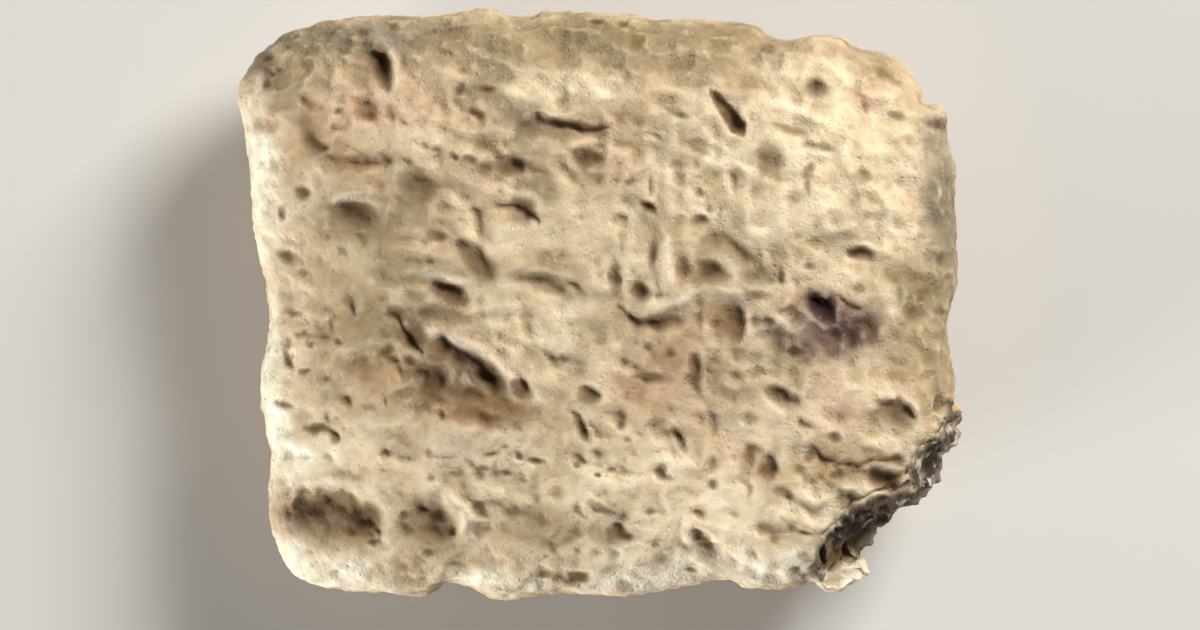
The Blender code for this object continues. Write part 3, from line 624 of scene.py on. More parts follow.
STAINS_AND_PAINTED_LIGHT = (
    # Broad tones: pale clay on the upper right and along the bottom, painted light on the bottom edge
    # and painted shade on the top edge, and darker at the top and left
    StainAndPaintedLight(11.8, 7.8, 14.0, 9.0, -30, CREAM, 0.65),
    StainAndPaintedLight(-16.6, -9.8, 11.0, 6.0, 0, CREAM, 0.45),
    StainAndPaintedLight(5.6, -12.0, 12.0, 6.0, 0, CREAM, 0.4),
    StainAndPaintedLight(12.5, 12.0, 6.0, 4.0, -10, CREAM, 0.6),
    # Painted light along the bottom edge
    StainAndPaintedLight(6.0, -17.0, 15.0, 2.8, 0, PAINTED_LIGHT_AND_WEAR, 0.4),
    StainAndPaintedLight(4.8, 11.2, 5.6, 2.6, -25, OLIVE, 0.4),
    StainAndPaintedLight(1.0, -12.5, 24.0, 10.0, 0, CREAM, 0.5),
    StainAndPaintedLight(-12.0, 10.6, 7.0, 4.4, -10, CREAM, 0.6),
    StainAndPaintedLight(-4.0, -1.6, 9.0, 4.6, -20, CREAM, 0.5),
    StainAndPaintedLight(-6.4, 4.2, 5.0, 2.6, -20, CREAM, 0.5),
    StainAndPaintedLight(18.0, 1.0, 5.0, 2.4, -10, CREAM, 0.5),
    # Painted shade along the top edge
    StainAndPaintedLight(0.0, 16.6, 36.0, 4.2, -2, OLIVE, 0.55),
    StainAndPaintedLight(-5.2, 12.9, 5.0, 2.6, -10, GREY_OLIVE, 0.5),
    StainAndPaintedLight(15.0, 1.6, 4.4, 2.2, -5, CREAM, 0.45),
    StainAndPaintedLight(-20.2, 4.8, 3.0, 4.4, 0, CREAM, 0.5),
    StainAndPaintedLight(10.2, 4.8, 4.0, 3.4, 0, CREAM, 0.4),
    StainAndPaintedLight(20.6, -2.6, 3.8, 5.0, 0, OLIVE, 0.45),
    StainAndPaintedLight(-14.6, 0.8, 8.0, 7.0, -40, OLIVE, 0.35),
    StainAndPaintedLight(4.2, 4.4, 4.6, 3.6, 0, OLIVE, 0.45),
    StainAndPaintedLight(2.2, -0.6, 3.0, 4.0, 0, OLIVE, 0.35),
    StainAndPaintedLight(12.6, -4.4, 6.6, 3.6, -10, OLIVE, 0.5),
    StainAndPaintedLight(-0.6, -2.2, 3.0, 2.6, 0, OLIVE, 0.35),
    StainAndPaintedLight(8.4, 0.8, 3.0, 3.0, 0, OLIVE, 0.3),
    # Painted light down the left side and along the bottom edge, and pale clay on the upper right
    StainAndPaintedLight(-22.6, 8.0, 13.0, 3.0, 96, PAINTED_LIGHT_AND_WEAR, 0.75),
    StainAndPaintedLight(-21.6, -6.0, 13.0, 2.6, 90, PAINTED_LIGHT_AND_WEAR, 0.7),
    StainAndPaintedLight(-20.6, -17.2, 5.0, 3.0, -50, PAINTED_LIGHT_AND_WEAR, 0.7),
    StainAndPaintedLight(-16.5, -18.4, 8.0, 2.2, -4, PAINTED_LIGHT_AND_WEAR, 0.7),
    StainAndPaintedLight(-6.5, -18.6, 8.0, 1.8, 0, PAINTED_LIGHT_AND_WEAR, 0.65),
    StainAndPaintedLight(2.5, -18.8, 9.0, 1.8, 0, PAINTED_LIGHT_AND_WEAR, 0.65),
    StainAndPaintedLight(10.5, -17.8, 7.0, 2.6, 0, PAINTED_LIGHT_AND_WEAR, 0.7),
    StainAndPaintedLight(17.0, 10.5, 9.0, 8.0, -30, CREAM, 0.65),
    StainAndPaintedLight(14.0, 15.0, 8.0, 3.0, -5, CREAM, 0.6),
    StainAndPaintedLight(-2.5, 13.9, 8.0, 2.6, -5, CREAM, 0.7),
    StainAndPaintedLight(6.5, 12.0, 9.0, 4.0, -20, CREAM, 0.2),
    StainAndPaintedLight(6.0, -13.2, 12.0, 7.0, -20, CREAM, 0.9),
    StainAndPaintedLight(-2.0, 5.5, 9.0, 4.0, -15, CREAM, 0.4),
    StainAndPaintedLight(19.5, 3.0, 4.0, 8.0, 0, CREAM, 0.35),
    StainAndPaintedLight(13.0, -13.6, 6.0, 3.0, -20, CREAM, 0.5),
    # Painted light by the left edge
    StainAndPaintedLight(-19.6, -10.8, 5.0, 3.6, 0, PAINTED_LIGHT_AND_WEAR, 0.8),
    # Painted light on the top of the chip at the break's foot, which lies partly in shade
    StainAndPaintedLight(16.5, -18.5, 4.8, 2.6, 8, PAINTED_LIGHT_AND_WEAR, 0.95),
    # Darker grey and olive earth, with painted shade along the top and right edges and a painted
    # highlight on the rim past the break
    # Painted shade along the top edge
    StainAndPaintedLight(-16.0, 17.3, 14.0, 3.0, 3, GREY_OLIVE, 0.7),
    StainAndPaintedLight(2.0, 17.8, 18.0, 2.6, -2, OLIVE, 0.7),
    # Painted shade along the right edge
    StainAndPaintedLight(22.9, 5.5, 3.0, 15.0, 2, GREY_OLIVE, 0.75),
    StainAndPaintedLight(22.8, -4.0, 3.0, 7.0, 0, OLIVE, 0.6),
    # Grey and olive earth
    StainAndPaintedLight(-19.5, 15.0, 5.0, 4.0, 40, OLIVE, 0.55),
    StainAndPaintedLight(-16.0, 4.6, 8.0, 3.6, -12, OLIVE, 0.55),
    StainAndPaintedLight(-12.0, 7.4, 4.2, 3.2, -35, GREY_OLIVE, 0.5),
    StainAndPaintedLight(-3.6, 7.6, 3.0, 3.4, -20, OLIVE, 0.6),
    StainAndPaintedLight(-8.0, 14.2, 3.6, 1.1, 0, OLIVE, 0.6),
    StainAndPaintedLight(-4.4, 11.8, 4.0, 2.6, -20, GREY_OLIVE, 0.55),
    StainAndPaintedLight(-14.5, -2.6, 7.0, 4.4, -12, OLIVE, 0.55),
    StainAndPaintedLight(-12.0, -6.0, 8.0, 3.4, -15, RUST, 0.45),
    StainAndPaintedLight(-3.3, 1.2, 8.0, 1.8, -14, OLIVE, 0.35),
    StainAndPaintedLight(-4.4, -14.6, 9.0, 4.6, -4, OLIVE, 0.3),
    StainAndPaintedLight(1.2, -15.4, 3.4, 2.4, -15, GREY_OLIVE, 0.5),
    StainAndPaintedLight(-17.6, -14.4, 7.6, 4.4, -4, GREY_OLIVE, 0.55),
    StainAndPaintedLight(-15.8, -14.8, 3.2, 3.2, 0, RUST, 0.6),
    StainAndPaintedLight(-11.3, -14.9, 4.6, 4.2, 0, GREY_OLIVE, 0.2),
    StainAndPaintedLight(14.3, 14.2, 2.6, 2.2, 0, OLIVE, 0.5),
    StainAndPaintedLight(19.0, 15.2, 2.4, 1.8, -30, OLIVE, 0.45),
    StainAndPaintedLight(11.3, 9.6, 2.0, 3.0, 10, OLIVE, 0.3),
    StainAndPaintedLight(21.0, 1.2, 6.0, 3.0, -8, OLIVE, 0.75),
    StainAndPaintedLight(-16.0, 9.2, 4.6, 0.9, -3, BROWN_EARTH, 0.2),
    StainAndPaintedLight(-8.5, -9.6, 8.0, 3.0, -4, PALE_GREY, 0.4),
    StainAndPaintedLight(-10.2, -10.4, 3.6, 2.4, 0, PALE_GREY, 0.5),
    StainAndPaintedLight(15.6, -14.6, 2.6, 1.8, -30, PALE_GREY, 0.6),
    # Painted highlight on the rim past the break
    StainAndPaintedLight(23.0, -10.6, 6.0, 1.6, 82, PALE_GREY, 0.9),
    StainAndPaintedLight(19.9, -15.2, 4.6, 1.5, 45, PALE_GREY, 0.9),
    # Rust, pink and dark mineral stains
    StainAndPaintedLight(-10.9, -5.3, 3.4, 4.0, -20, BROWN_EARTH, 0.95),
    StainAndPaintedLight(-8.6, -6.0, 4.8, 1.8, -20, BROWN_EARTH, 0.6),
    StainAndPaintedLight(-8.4, -4.2, 5.6, 2.6, -35, PURPLE, 0.6),
    StainAndPaintedLight(-16.1, 5.9, 4.6, 2.0, -8, BROWN_EARTH, 0.8),
    StainAndPaintedLight(-6.9, -7.4, 8.6, 2.2, -8, RUST, 0.75),
    StainAndPaintedLight(-12.6, -2.1, 3.4, 2.6, -45, BROWN_EARTH, 0.75),
    StainAndPaintedLight(-7.9, 2.6, 4.4, 2.0, -45, GREY_OLIVE, 0.6),
    StainAndPaintedLight(-10.4, -0.8, 4.2, 1.8, -12, GREY_OLIVE, 0.6),
    StainAndPaintedLight(9.0, -1.6, 2.6, 3.6, 15, BROWN_EARTH, 0.5),
    StainAndPaintedLight(7.8, 2.4, 4.0, 3.6, 0, OLIVE, 0.55),
    StainAndPaintedLight(6.0, -4.6, 6.4, 3.6, -25, BROWN_EARTH, 0.3),
    StainAndPaintedLight(10.5, 1.0, 3.4, 2.4, -10, BROWN_EARTH, 0.4),
    StainAndPaintedLight(-16.5, 9.2, 4.0, 2.6, -10, RUST, 0.35),
    StainAndPaintedLight(-19.0, 11.0, 2.2, 4.4, 0, RUST, 0.4),
    StainAndPaintedLight(-15.5, 12.5, 2.6, 2.6, 0, PINK, 0.7),
    StainAndPaintedLight(-15.5, 12.5, 2.0, 2.0, 0, RUST, 0.6),
    StainAndPaintedLight(-12.6, 12.6, 5.0, 3.4, -10, PINK, 0.3),
    StainAndPaintedLight(17.7, 13.2, 1.4, 2.4, 10, PINK, 0.5),
    StainAndPaintedLight(3.2, -5.8, 4.6, 2.4, -10, PINK, 0.35),
    StainAndPaintedLight(8.8, -10.4, 5.0, 3.6, -20, PINK, 0.35),
    StainAndPaintedLight(15.5, -6.5, 7.0, 4.0, -20, PINK, 0.3),
    StainAndPaintedLight(16.0, -10.8, 6.0, 3.0, -10, RUST, 0.5),
    StainAndPaintedLight(19.0, -11.4, 3.6, 2.2, -10, RUST, 0.6),
    StainAndPaintedLight(11.0, -11.3, 3.4, 2.8, 0, RUST, 0.45),
    StainAndPaintedLight(2.6, -7.0, 5.0, 3.6, -20, RUST, 0.2),
    StainAndPaintedLight(5.6, -3.8, 5.0, 4.0, -30, RUST, 0.3),
    StainAndPaintedLight(8.9, -1.2, 3.0, 4.0, 20, RUST, 0.4),
    StainAndPaintedLight(11.8, -2.3, 3.6, 3.0, -15, PURPLE, 0.4),
    StainAndPaintedLight(11.4, -2.0, 2.2, 1.8, -15, PALE_GREY, 0.5),
    StainAndPaintedLight(15.5, -1.9, 6.8, 4.4, -14, PURPLE, 0.95),
    StainAndPaintedLight(14.9, -0.5, 3.2, 2.3, -38, MAROON, 1.0),
    StainAndPaintedLight(14.9, -0.5, 2.2, 1.5, -38, MAROON, 1.0),
    StainAndPaintedLight(17.7, -1.7, 2.2, 1.8, -20, MAROON, 0.7),
    StainAndPaintedLight(16.4, -2.4, 2.6, 1.6, -20, MAROON, 0.35),
    StainAndPaintedLight(13.2, -3.4, 2.2, 1.6, 0, MAROON, 0.75),
    StainAndPaintedLight(4.3, -1.2, 3.8, 1.2, -4, PURPLE, 0.45),
    StainAndPaintedLight(22.6, 11.9, 1.3, 1.1, 0, MAROON, 0.5),
    StainAndPaintedLight(-22.0, 15.4, 2.2, 2.6, 50, DARK_EARTH, 0.55),
    StainAndPaintedLight(-7.7, -4.7, 4.4, 2.4, -36, MAROON, 0.85),
    StainAndPaintedLight(-10.0, -3.1, 2.6, 1.7, -28, BROWN_EARTH, 0.9),
)


def closed_curve(points, steps):
    """A smooth closed line through the points, as an array of steps places for each point."""
    corners = np.array(points, float)
    before = np.roll(corners, 1, axis=0)
    after = np.roll(corners, -1, axis=0)
    beyond = np.roll(corners, -2, axis=0)
    places = []
    for share in np.arange(steps) / steps:
        places.append(
            0.5
            * (
                2 * corners
                + (after - before) * share
                + (2 * before - 5 * corners + 4 * after - beyond) * share**2
                + (3 * corners - before - 3 * after + beyond) * share**3
            )
        )
    return np.stack(places, axis=1).reshape(-1, 2)


def plan_scale():
    """The tablet's width and height over those of the drawn outline."""
    line = closed_curve(OUTLINE, OUTLINE_STEPS)
    return np.array([TABLET_WIDTH, TABLET_HEIGHT]) / (line.max(axis=0) - line.min(axis=0))


def edge_reach():
    """Even angles round the plan, and how far its edge is from the middle at each."""
    line = closed_curve(OUTLINE, OUTLINE_STEPS) * plan_scale()
    drawn_angles = np.arctan2(line[:, 1], line[:, 0])
    angles = np.linspace(-math.pi, math.pi, REACH_ANGLES, endpoint=False)
    reach = np.hypot(line[:, 0], line[:, 1])
    return angles, np.interp(angles, drawn_angles, reach, period=2 * math.pi)


def blurred(values, window):
    """The values averaged over a window that runs round the ring."""
    ends = np.concatenate([values[-window:], values, values[:window]])
    kernel = np.ones(2 * window + 1) / (2 * window + 1)
    return np.convolve(ends, kernel, mode="same")[window:-window]


def ramp(value, low, high):
    """0 below low, 1 above high, and a smooth rise between."""
    share = np.clip((value - low) / (high - low), 0, 1)
    return share * share * (3 - 2 * share)


def value_noise(points, cell, seed):
    """Smooth noise from -1 to 1 at each point, with lumps about one cell across."""
    lattice = np.random.default_rng(seed).uniform(-1, 1, (NOISE_SIDE, NOISE_SIDE, NOISE_SIDE))
    scaled = points / cell + NOISE_SIDE * 4
    corner = np.floor(scaled).astype(int)
    share = scaled - corner
    share = share * share * (3 - 2 * share)
    total = np.zeros(len(points))
    for step in np.ndindex(2, 2, 2):
        weight = np.ones(len(points))
        for axis in range(3):
            weight *= share[:, axis] if step[axis] else 1 - share[:, axis]
        i, j, k = ((corner[:, axis] + step[axis]) % NOISE_SIDE for axis in range(3))
        total += weight * lattice[i, j, k]
    return total


def turned(x, y, place, turn):
    """Places seen from a mark: along it and across it."""
    turn = math.radians(turn)
    along = (x - place[0]) * math.cos(turn) + (y - place[1]) * math.sin(turn)
    across = (y - place[1]) * math.cos(turn) - (x - place[0]) * math.sin(turn)
    return along, across


def shape_of_hollow(x, y, hollow):
    """Shares of the hollow's depth and of its lip at each place, and how much of both wear has left."""
    along, across = turned(x, y, (hollow.x, hollow.y), hollow.turn)
    steep = math.radians(hollow.steep - hollow.turn)
    narrowness = min(1, hollow.width / NARROW, hollow.length / NARROW)
    lean = LEAN_LEFT * hollow.lean * narrowness
    deep_u, deep_v = lean * math.cos(steep), lean * math.sin(steep)
    u = along / (hollow.length / 2) - deep_u
    v = across / (hollow.width / 2) - deep_v
    square = u * u + v * v
    middle = deep_u * u + deep_v * v
    reach = np.sqrt(middle * middle + square * (1 - lean**2))
    to_rim = square / np.maximum(reach - middle, TINY)
    sunk = np.clip(1 - to_rim**2, 0, None) ** RIM_SOFTNESS
    towards_steep = (u * math.cos(steep) + v * math.sin(steep)) / np.maximum(np.sqrt(square), TINY)
    from_lip = (to_rim - HOLLOW_LIP_PLACE) / HOLLOW_LIP_WIDTH
    lip = np.exp(-(from_lip**2)) * np.clip(towards_steep, 0, 1)
    left = NARROWEST_LEFT + (1 - NARROWEST_LEFT) * narrowness
    return sunk, lip * min(1, LIP_FOR_LEAN * hollow.lean), left


def share_of_stroke(x, y, head, turn, length, width, fullness=1.0):
    """A wedge pressed by a stylus: broad and deep at its head, running out to a point."""
    along, across = turned(x, y, head, turn)
    along /= length
    taper = np.clip(1 - along, 0, 1) ** (1 / fullness) * ramp(along, *STROKE_HEAD)
    half = np.maximum(width / 2 * taper, TINY)
    return taper * np.clip(1 - (across / half) ** 2, 0, 1)


def writing_depth(x, y, marked):
    """Rows of single worn wedges that form no signs, fainter towards the top right."""
    random = np.random.default_rng(WRITING_SEED)
    pressed = np.zeros(len(x))
    right, top = TABLET_WIDTH / 2 - WRITING_MARGIN, TABLET_HEIGHT / 2 - WRITING_MARGIN
    for row_y in np.arange(top, -top, -ROW_PITCH):
        for column_x in np.arange(-right, right, STROKE_PITCH):
            head_x = column_x + random.uniform(-STROKE_SHIFTS[0], STROKE_SHIFTS[0])
            head_y = row_y + ROW_SLOPE * head_x + random.uniform(-STROKE_SHIFTS[1], STROKE_SHIFTS[1])
            turn = random.choice(STROKE_TURNS) + random.uniform(-STROKE_TURN_SPREAD, STROKE_TURN_SPREAD)
            size = random.uniform(*STROKE_SIZES)
            worn = WORN_AWAY * ramp(head_x / right + head_y / top, 0, WORN_REACH)
            depth = STROKE_DEPTH * size * (1 - worn)
            if random.uniform() < STROKES_LEFT:
                length, width = STROKE_LENGTH * size, STROKE_WIDTH * size
                stroke = share_of_stroke(x, y, (head_x, head_y), turn, length, width)
                crowded = (stroke * np.abs(marked)).sum() / max(stroke.sum(), TINY)
                if crowded < CROWDING:
                    pressed = np.maximum(pressed, depth * stroke)
    return pressed


def along_line(x, y, points):
    """Distance from a line of points, which side each place is on, and its share of the way along."""
    distance = np.full(len(x), np.inf)
    side = np.zeros(len(x))
    share_along = np.zeros(len(x))
    lengths = [math.dist(start, end) for start, end in zip(points, points[1:])]
    done = 0.0
    for start, end, length in zip(points, points[1:], lengths):
        step_x, step_y = (end[0] - start[0]) / length, (end[1] - start[1]) / length
        along = (x - start[0]) * step_x + (y - start[1]) * step_y
        reached = np.clip(along, 0, length)
        off_x, off_y = x - start[0] - reached * step_x, y - start[1] - reached * step_y
        here = np.hypot(off_x, off_y)
        nearer = here < distance
        distance = np.where(nearer, here, distance)
        side = np.where(nearer, np.sign(off_x * step_y - off_y * step_x), side)
        share_along = np.where(nearer, (done + reached) / sum(lengths), share_along)
        done += length
    return distance, side, share_along


def drop_at_step(x, y, step):
    """How far the step sinks the face on its right-hand side, and lifts the lip on its left."""
    distance, side, share = along_line(x, y, step.points)
    ends = ramp(share, 0.0, STEP_END) * ramp(-share, -1.0, STEP_END - 1)
    ends = np.where((share <= 0) | (share >= 1), 0, ends)
    signed = distance * side
    sunk = np.exp(-np.maximum(signed, 0) / step.reach) * ramp(signed, -STEP_FACE, STEP_FACE)
    lip = np.exp(-np.maximum(-signed, 0) / STEP_LIP_REACH) * ramp(-signed, -STEP_FACE, STEP_FACE)
    return step.depth * ends * (sunk - STEP_LIP * lip)


def height_of_ridge(x, y, ridge):
    """A rounded ridge along a line, lower towards its ends."""
    distance, _, share = along_line(x, y, ridge.points)
    ends = ramp(share, *RIDGE_START) * ramp(-share, *RIDGE_FINISH)
    return ridge.height * ends * np.exp(-((distance / (ridge.width / 2)) ** 2))


def past_break_edge(x, y):
    """How far out each place is past the face's edge at the broken corner, negative on the face."""
    distance = along_line(x, y, BREAK_EDGE)[0]
    outside = np.zeros(len(x), bool)
    for start, end in zip(BREAK_EDGE, BREAK_EDGE[1:]):
        level = (y <= start[1]) & (y > end[1])
        crossing = start[0] + (y - start[1]) * (end[0] - start[0]) / (end[1] - start[1])
        outside |= level & (x > crossing)
    return np.where(outside, distance, -distance)


def corner_surface(x, y):
    """Height that the broken corner cuts the tablet down to, with the chip left at its foot."""
    fracture = TABLET_THICKNESS - BREAK_SLOPE * np.maximum(past_break_edge(x, y), 0)
    from_chip = along_line(x, y, CHIP_ENDS)[0]
    chip = TABLET_THICKNESS - CHIP_DROP - BREAK_SLOPE * np.maximum(from_chip - CHIP_HALF_WIDTH, 0)
    return np.maximum(fracture, chip)


def chip_top(x, y, height):
    """1 on the top of the chip at the foot of the broken corner, and 0 away from it."""
    chip_height = TABLET_THICKNESS - CHIP_DROP
    near_top = ramp(-np.abs(height - chip_height), -CHIP_TOP_DEPTH, -0.5 * CHIP_TOP_DEPTH)
    return near_top * ramp(-along_line(x, y, CHIP_ENDS)[0], *CHIP_TOP_BAND)


def on_fracture(x, y, height):
    """1 where the clay has broken away, and 0 on the tablet's old skin."""
    off_surface = np.abs(height - corner_surface(x, y)) / math.hypot(1, BREAK_SLOPE)
    return ramp(-off_surface, *FRACTURE_DEPTHS) * ramp(past_break_edge(x, y), *FRACTURE_EDGE)


def vertex_vectors(mesh, name):
    """The mesh's vertex places or normals, as an array of x, y, z."""
    values = np.empty(len(mesh.vertices) * 3)
    mesh.vertices.foreach_get(name, values)
    return values.reshape(-1, 3)


def set_vertex_places(mesh, points):
    """Moves the mesh's vertices to these places."""
    mesh.vertices.foreach_set("co", points.astype(np.float32).ravel())
    mesh.update()


def smoothed(values, edges, rounds):
    """Each vertex's value averaged with its neighbours', a number of times over."""
    count = len(values)
    neighbours = np.bincount(edges.ravel(), minlength=count)
    for _ in range(rounds):
        total = np.bincount(edges[:, 0], values[edges[:, 1]], count)
        total += np.bincount(edges[:, 1], values[edges[:, 0]], count)
        values = (values + total / np.maximum(neighbours, 1)) / 2
    return values


def select_only(item):
    """Makes the object the one that operators act on."""
    bpy.ops.object.select_all(action="DESELECT")
    item.select_set(True)
    bpy.context.view_layer.objects.active = item


def blank_of_clay():
    """The pillow-shaped blank, pressed out of a ball, with its real edge and its broken corner."""
    bpy.ops.object.select_all(action="DESELECT")
    bpy.ops.mesh.primitive_uv_sphere_add(segments=BLANK_SEGMENTS, ring_count=BLANK_RINGS, radius=1.0)
    blank = bpy.context.object
    blank.name = "clay_tablet"
    points = vertex_vectors(blank.data, "co")
    angle = np.arctan2(points[:, 1], points[:, 0])
    around, up = np.hypot(points[:, 0], points[:, 1]), points[:, 2]

    in_corner = ramp(angle, *np.radians(BREAK_BOTTOM_ANGLES))
    in_corner *= ramp(-angle, *np.radians(BREAK_SIDE_ANGLES)) * ramp(up, *BREAK_BAND_UP)
    squareness = EDGE_SQUARENESS + (BREAK_SQUARENESS - EDGE_SQUARENESS) * in_corner
    length = (around**squareness + np.abs(up) ** squareness) ** (1 / squareness)
    around, up = around / length, up / length

    angles, reach = edge_reach()
    without_chips = blurred(blurred(reach, SMOOTHING_ANGLES), SMOOTHING_ANGLES)
    smooth_reach = np.interp(angle, angles, without_chips, period=2 * math.pi)
    chipped_reach = np.interp(angle, angles, reach, period=2 * math.pi)
    on_back = ramp(-up, *BACK_BAND)
    at_edge = around**CHIP_SHARPNESS * (1 - on_back)
    radius = smooth_reach + (chipped_reach - smooth_reach) * at_edge - BACK_TAPER * on_back
    points[:, 0], points[:, 1] = around * radius * np.cos(angle), around * radius * np.sin(angle)

    half = (TABLET_THICKNESS + REST_FLAT_RISE) / 2
    points[:, 2] = np.maximum(half * (1 + up) - REST_FLAT_RISE, 0)
    drawn = points[:, :2] / plan_scale()
    points[:, 2] = np.minimum(points[:, 2], corner_surface(*drawn.T))
    set_vertex_places(blank.data, points)
    return blank


def even_out(blank):
    """Gives the blank an even, fine surface."""
    select_only(blank)
    cells = blank.modifiers.new("cells", "REMESH")
    cells.mode = "VOXEL"
    cells.voxel_size = FINE_CELL
    bpy.ops.object.modifier_apply(modifier=cells.name)


def flow_noise(points, seed):
    """Noise drawn out along the flow lines that the weather has left."""
    turn = math.radians(FLOW_TURN)
    along = points[:, 0] * math.cos(turn) + points[:, 1] * math.sin(turn)
    across = points[:, 1] * math.cos(turn) - points[:, 0] * math.sin(turn)
    drawn_out = np.stack([along / FLOW_LENGTH, across / FLOW_WIDTH, points[:, 2] / FLOW_WIDTH], axis=1)
    return value_noise(drawn_out, 1.0, seed)


def shifts(points, cell, seeds):
    """Smooth shifts along x and y at each point, from -1 to 1."""
    return np.stack([value_noise(points, cell, seed) for seed in seeds], axis=1)


def share_of_wedge(x, y):
    """The one deep wedge's share of its depth at each place."""
    return share_of_stroke(x, y, WEDGE_HEAD, WEDGE_TURN, WEDGE_LENGTH, WEDGE_WIDTH, WEDGE_FULLNESS)


def unevenness(points, drawn, on_face):
    """How far the weathered clay stands out at each point, with the broken corner's own roughness."""
    uneven = SWELL_DEPTH * value_noise(points, SWELL_SIZE, SEEDS["swell"])
    uneven += LUMP_DEPTH * value_noise(points, LUMP_SIZE, SEEDS["lumps"])
    uneven *= SIDE_SHARE + (1 - SIDE_SHARE) * on_face
    flow = np.abs(flow_noise(points, SEEDS["flow"]))
    uneven -= FLOW_DEPTH * flow * (FLOW_ON_SIDES + (1 - FLOW_ON_SIDES) * on_face)
    pits = np.abs(value_noise(points, PIT_SIZE, SEEDS["pits"]))
    uneven -= PIT_DEPTH * pits * (PITS_ON_SIDES + (1 - PITS_ON_SIDES) * on_face)
    uneven += CRUMB_DEPTH * value_noise(points, CRUMB_SIZE, SEEDS["crumbs"])
    uneven += GRAIN_DEPTH * value_noise(points, GRAIN_SIZE, SEEDS["grain"])

    on_break = ramp(past_break_edge(*drawn.T), *BREAK_BAND) * ramp(points[:, 2], *BREAK_HEIGHTS)
    on_break *= 1 - CHIP_SMOOTHNESS * chip_top(*drawn.T, points[:, 2])
    lumps = BREAK_ROUGHNESS * value_noise(points, BREAK_LUMP, SEEDS["break"])
    uneven += on_break * (lumps - BREAK_SETBACK)
    crumbs = np.abs(value_noise(points, BREAK_CRUMB_SIZE, SEEDS["break crumbs"]))
    uneven -= on_break * BREAK_CRUMBS * crumbs
    fine_crumbs = value_noise(points, BREAK_CRUMB_SIZE * FINE_CRUMB_SIZE, SEEDS["fine crumbs"])
    uneven += on_break * BREAK_CRUMBS * FINE_CRUMBS * fine_crumbs
    return uneven * ramp(points[:, 2], *FOOT_BAND)


def press_relief(mesh):
    """Presses every mark into the face, and weathers the clay all round."""
    points, normals = vertex_vectors(mesh, "co"), vertex_vectors(mesh, "normal")
    drawn = points[:, :2] / plan_scale()
    wander = WANDER * shifts(points, WANDER_SIZE, SEEDS["wander"])
    tremble = TREMBLE * shifts(points, TREMBLE_SIZE, SEEDS["tremble"])

    x, y = (drawn - MARK_SHIFT + MARK_WANDER * wander + tremble).T
    pressed = np.zeros(len(points))
    for hollow in HOLLOWS:
        sunk, lip, left = shape_of_hollow(x, y, hollow)
        pressed += left * hollow.depth * (HOLLOW_LEFT * sunk - HOLLOW_LIP * lip)
    for step in STEPS:
        pressed += drop_at_step(x, y, step)
    for ridge in RIDGES:
        pressed -= height_of_ridge(x, y, ridge)
    pressed += WEDGE_DEPTH * share_of_wedge(*drawn.T)
    writing = STROKE_LEFT * writing_depth(*(points[:, :2] + wander).T, pressed)
    writing *= 1 - ramp(pressed, *CROWDED_DEPTHS)
    pressed = np.maximum(pressed, writing + UNDER_STROKE * pressed)
    facing = ramp(normals[:, 2], *MARK_SLOPES)

    points += normals * unevenness(points, drawn, ramp(normals[:, 2], *FACE_SLOPES))[:, None]
    points[:, 2] = np.maximum(points[:, 2] - pressed * facing, 0)
    set_vertex_places(mesh, points)


def thin_out(tablet):
    """Takes facets away where the surface is plain."""
    select_only(tablet)
    thin = tablet.modifiers.new("thin", "DECIMATE")
    thin.ratio = FINE_TRIANGLES / (2 * len(tablet.data.polygons))
    bpy.ops.object.modifier_apply(modifier=thin.name)


def add_values(mesh, name, values):
    """Keeps one number a vertex on the mesh, for its material to read."""
    attribute = mesh.attributes.new(name, "FLOAT", "POINT")
    attribute.data.foreach_set("value", values.astype(np.float32))


def tinted(colour, tint, cover):
    """The colours moved towards a tint, by the cover at each vertex."""
    return colour + (tint - colour) * cover[:, None]


def drifted_noise(points, fineness, size, seeds):
    """Noise along the flow lines, with some plain noise of another size in it."""
    return flow_noise(points * fineness, seeds[0]) + FLOW_WASH_FINE * value_noise(points, size, seeds[1])


def washed_clay(points):
    """The clay's colour before its stains and painted light: pale, grey and ruddy washes one over the
    other.
    """
    broad, fine = (
        value_noise(points, size, seed) for size, seed in zip(PALE_WASH_SIZES, SEEDS["pale wash"])
    )
    pale = broad + PALE_WASH_FINE * fine
    grey = drifted_noise(points, GREY_WASH_FINENESS, GREY_WASH_SIZE, SEEDS["grey wash"])
    ruddy = drifted_noise(points, RUDDY_WASH_FINENESS, RUDDY_WASH_SIZE, SEEDS["ruddy wash"])
    colour = np.tile(CLAY, (len(points), 1))
    colour = tinted(colour, CREAM, PALE_WASH * ramp(pale, *PALE_WASH_BAND))
    colour = tinted(colour, GREY_OLIVE, GREY_WASH * ramp(grey, *GREY_WASH_BAND))
    return tinted(colour, RUST, RUDDY_WASH * ramp(ruddy, *RUDDY_WASH_BAND))


def with_stains_and_painted_light(colour, x, y, on_face):
    """The colours with every stain and every patch of painted light and shade laid over them."""
    for colour_patch in STAINS_AND_PAINTED_LIGHT:
        along, across = turned(x, y, (colour_patch.x, colour_patch.y), colour_patch.turn)
        out = np.hypot(along / (colour_patch.length / 2), across / (colour_patch.width / 2))
        strength = min(STAIN_AND_LIGHT_GAIN * colour_patch.strength, MOST_COVER)
        colour = tinted(colour, colour_patch.colour, strength * ramp(-out, *STAIN_AND_LIGHT_BAND) * on_face)
    return colour


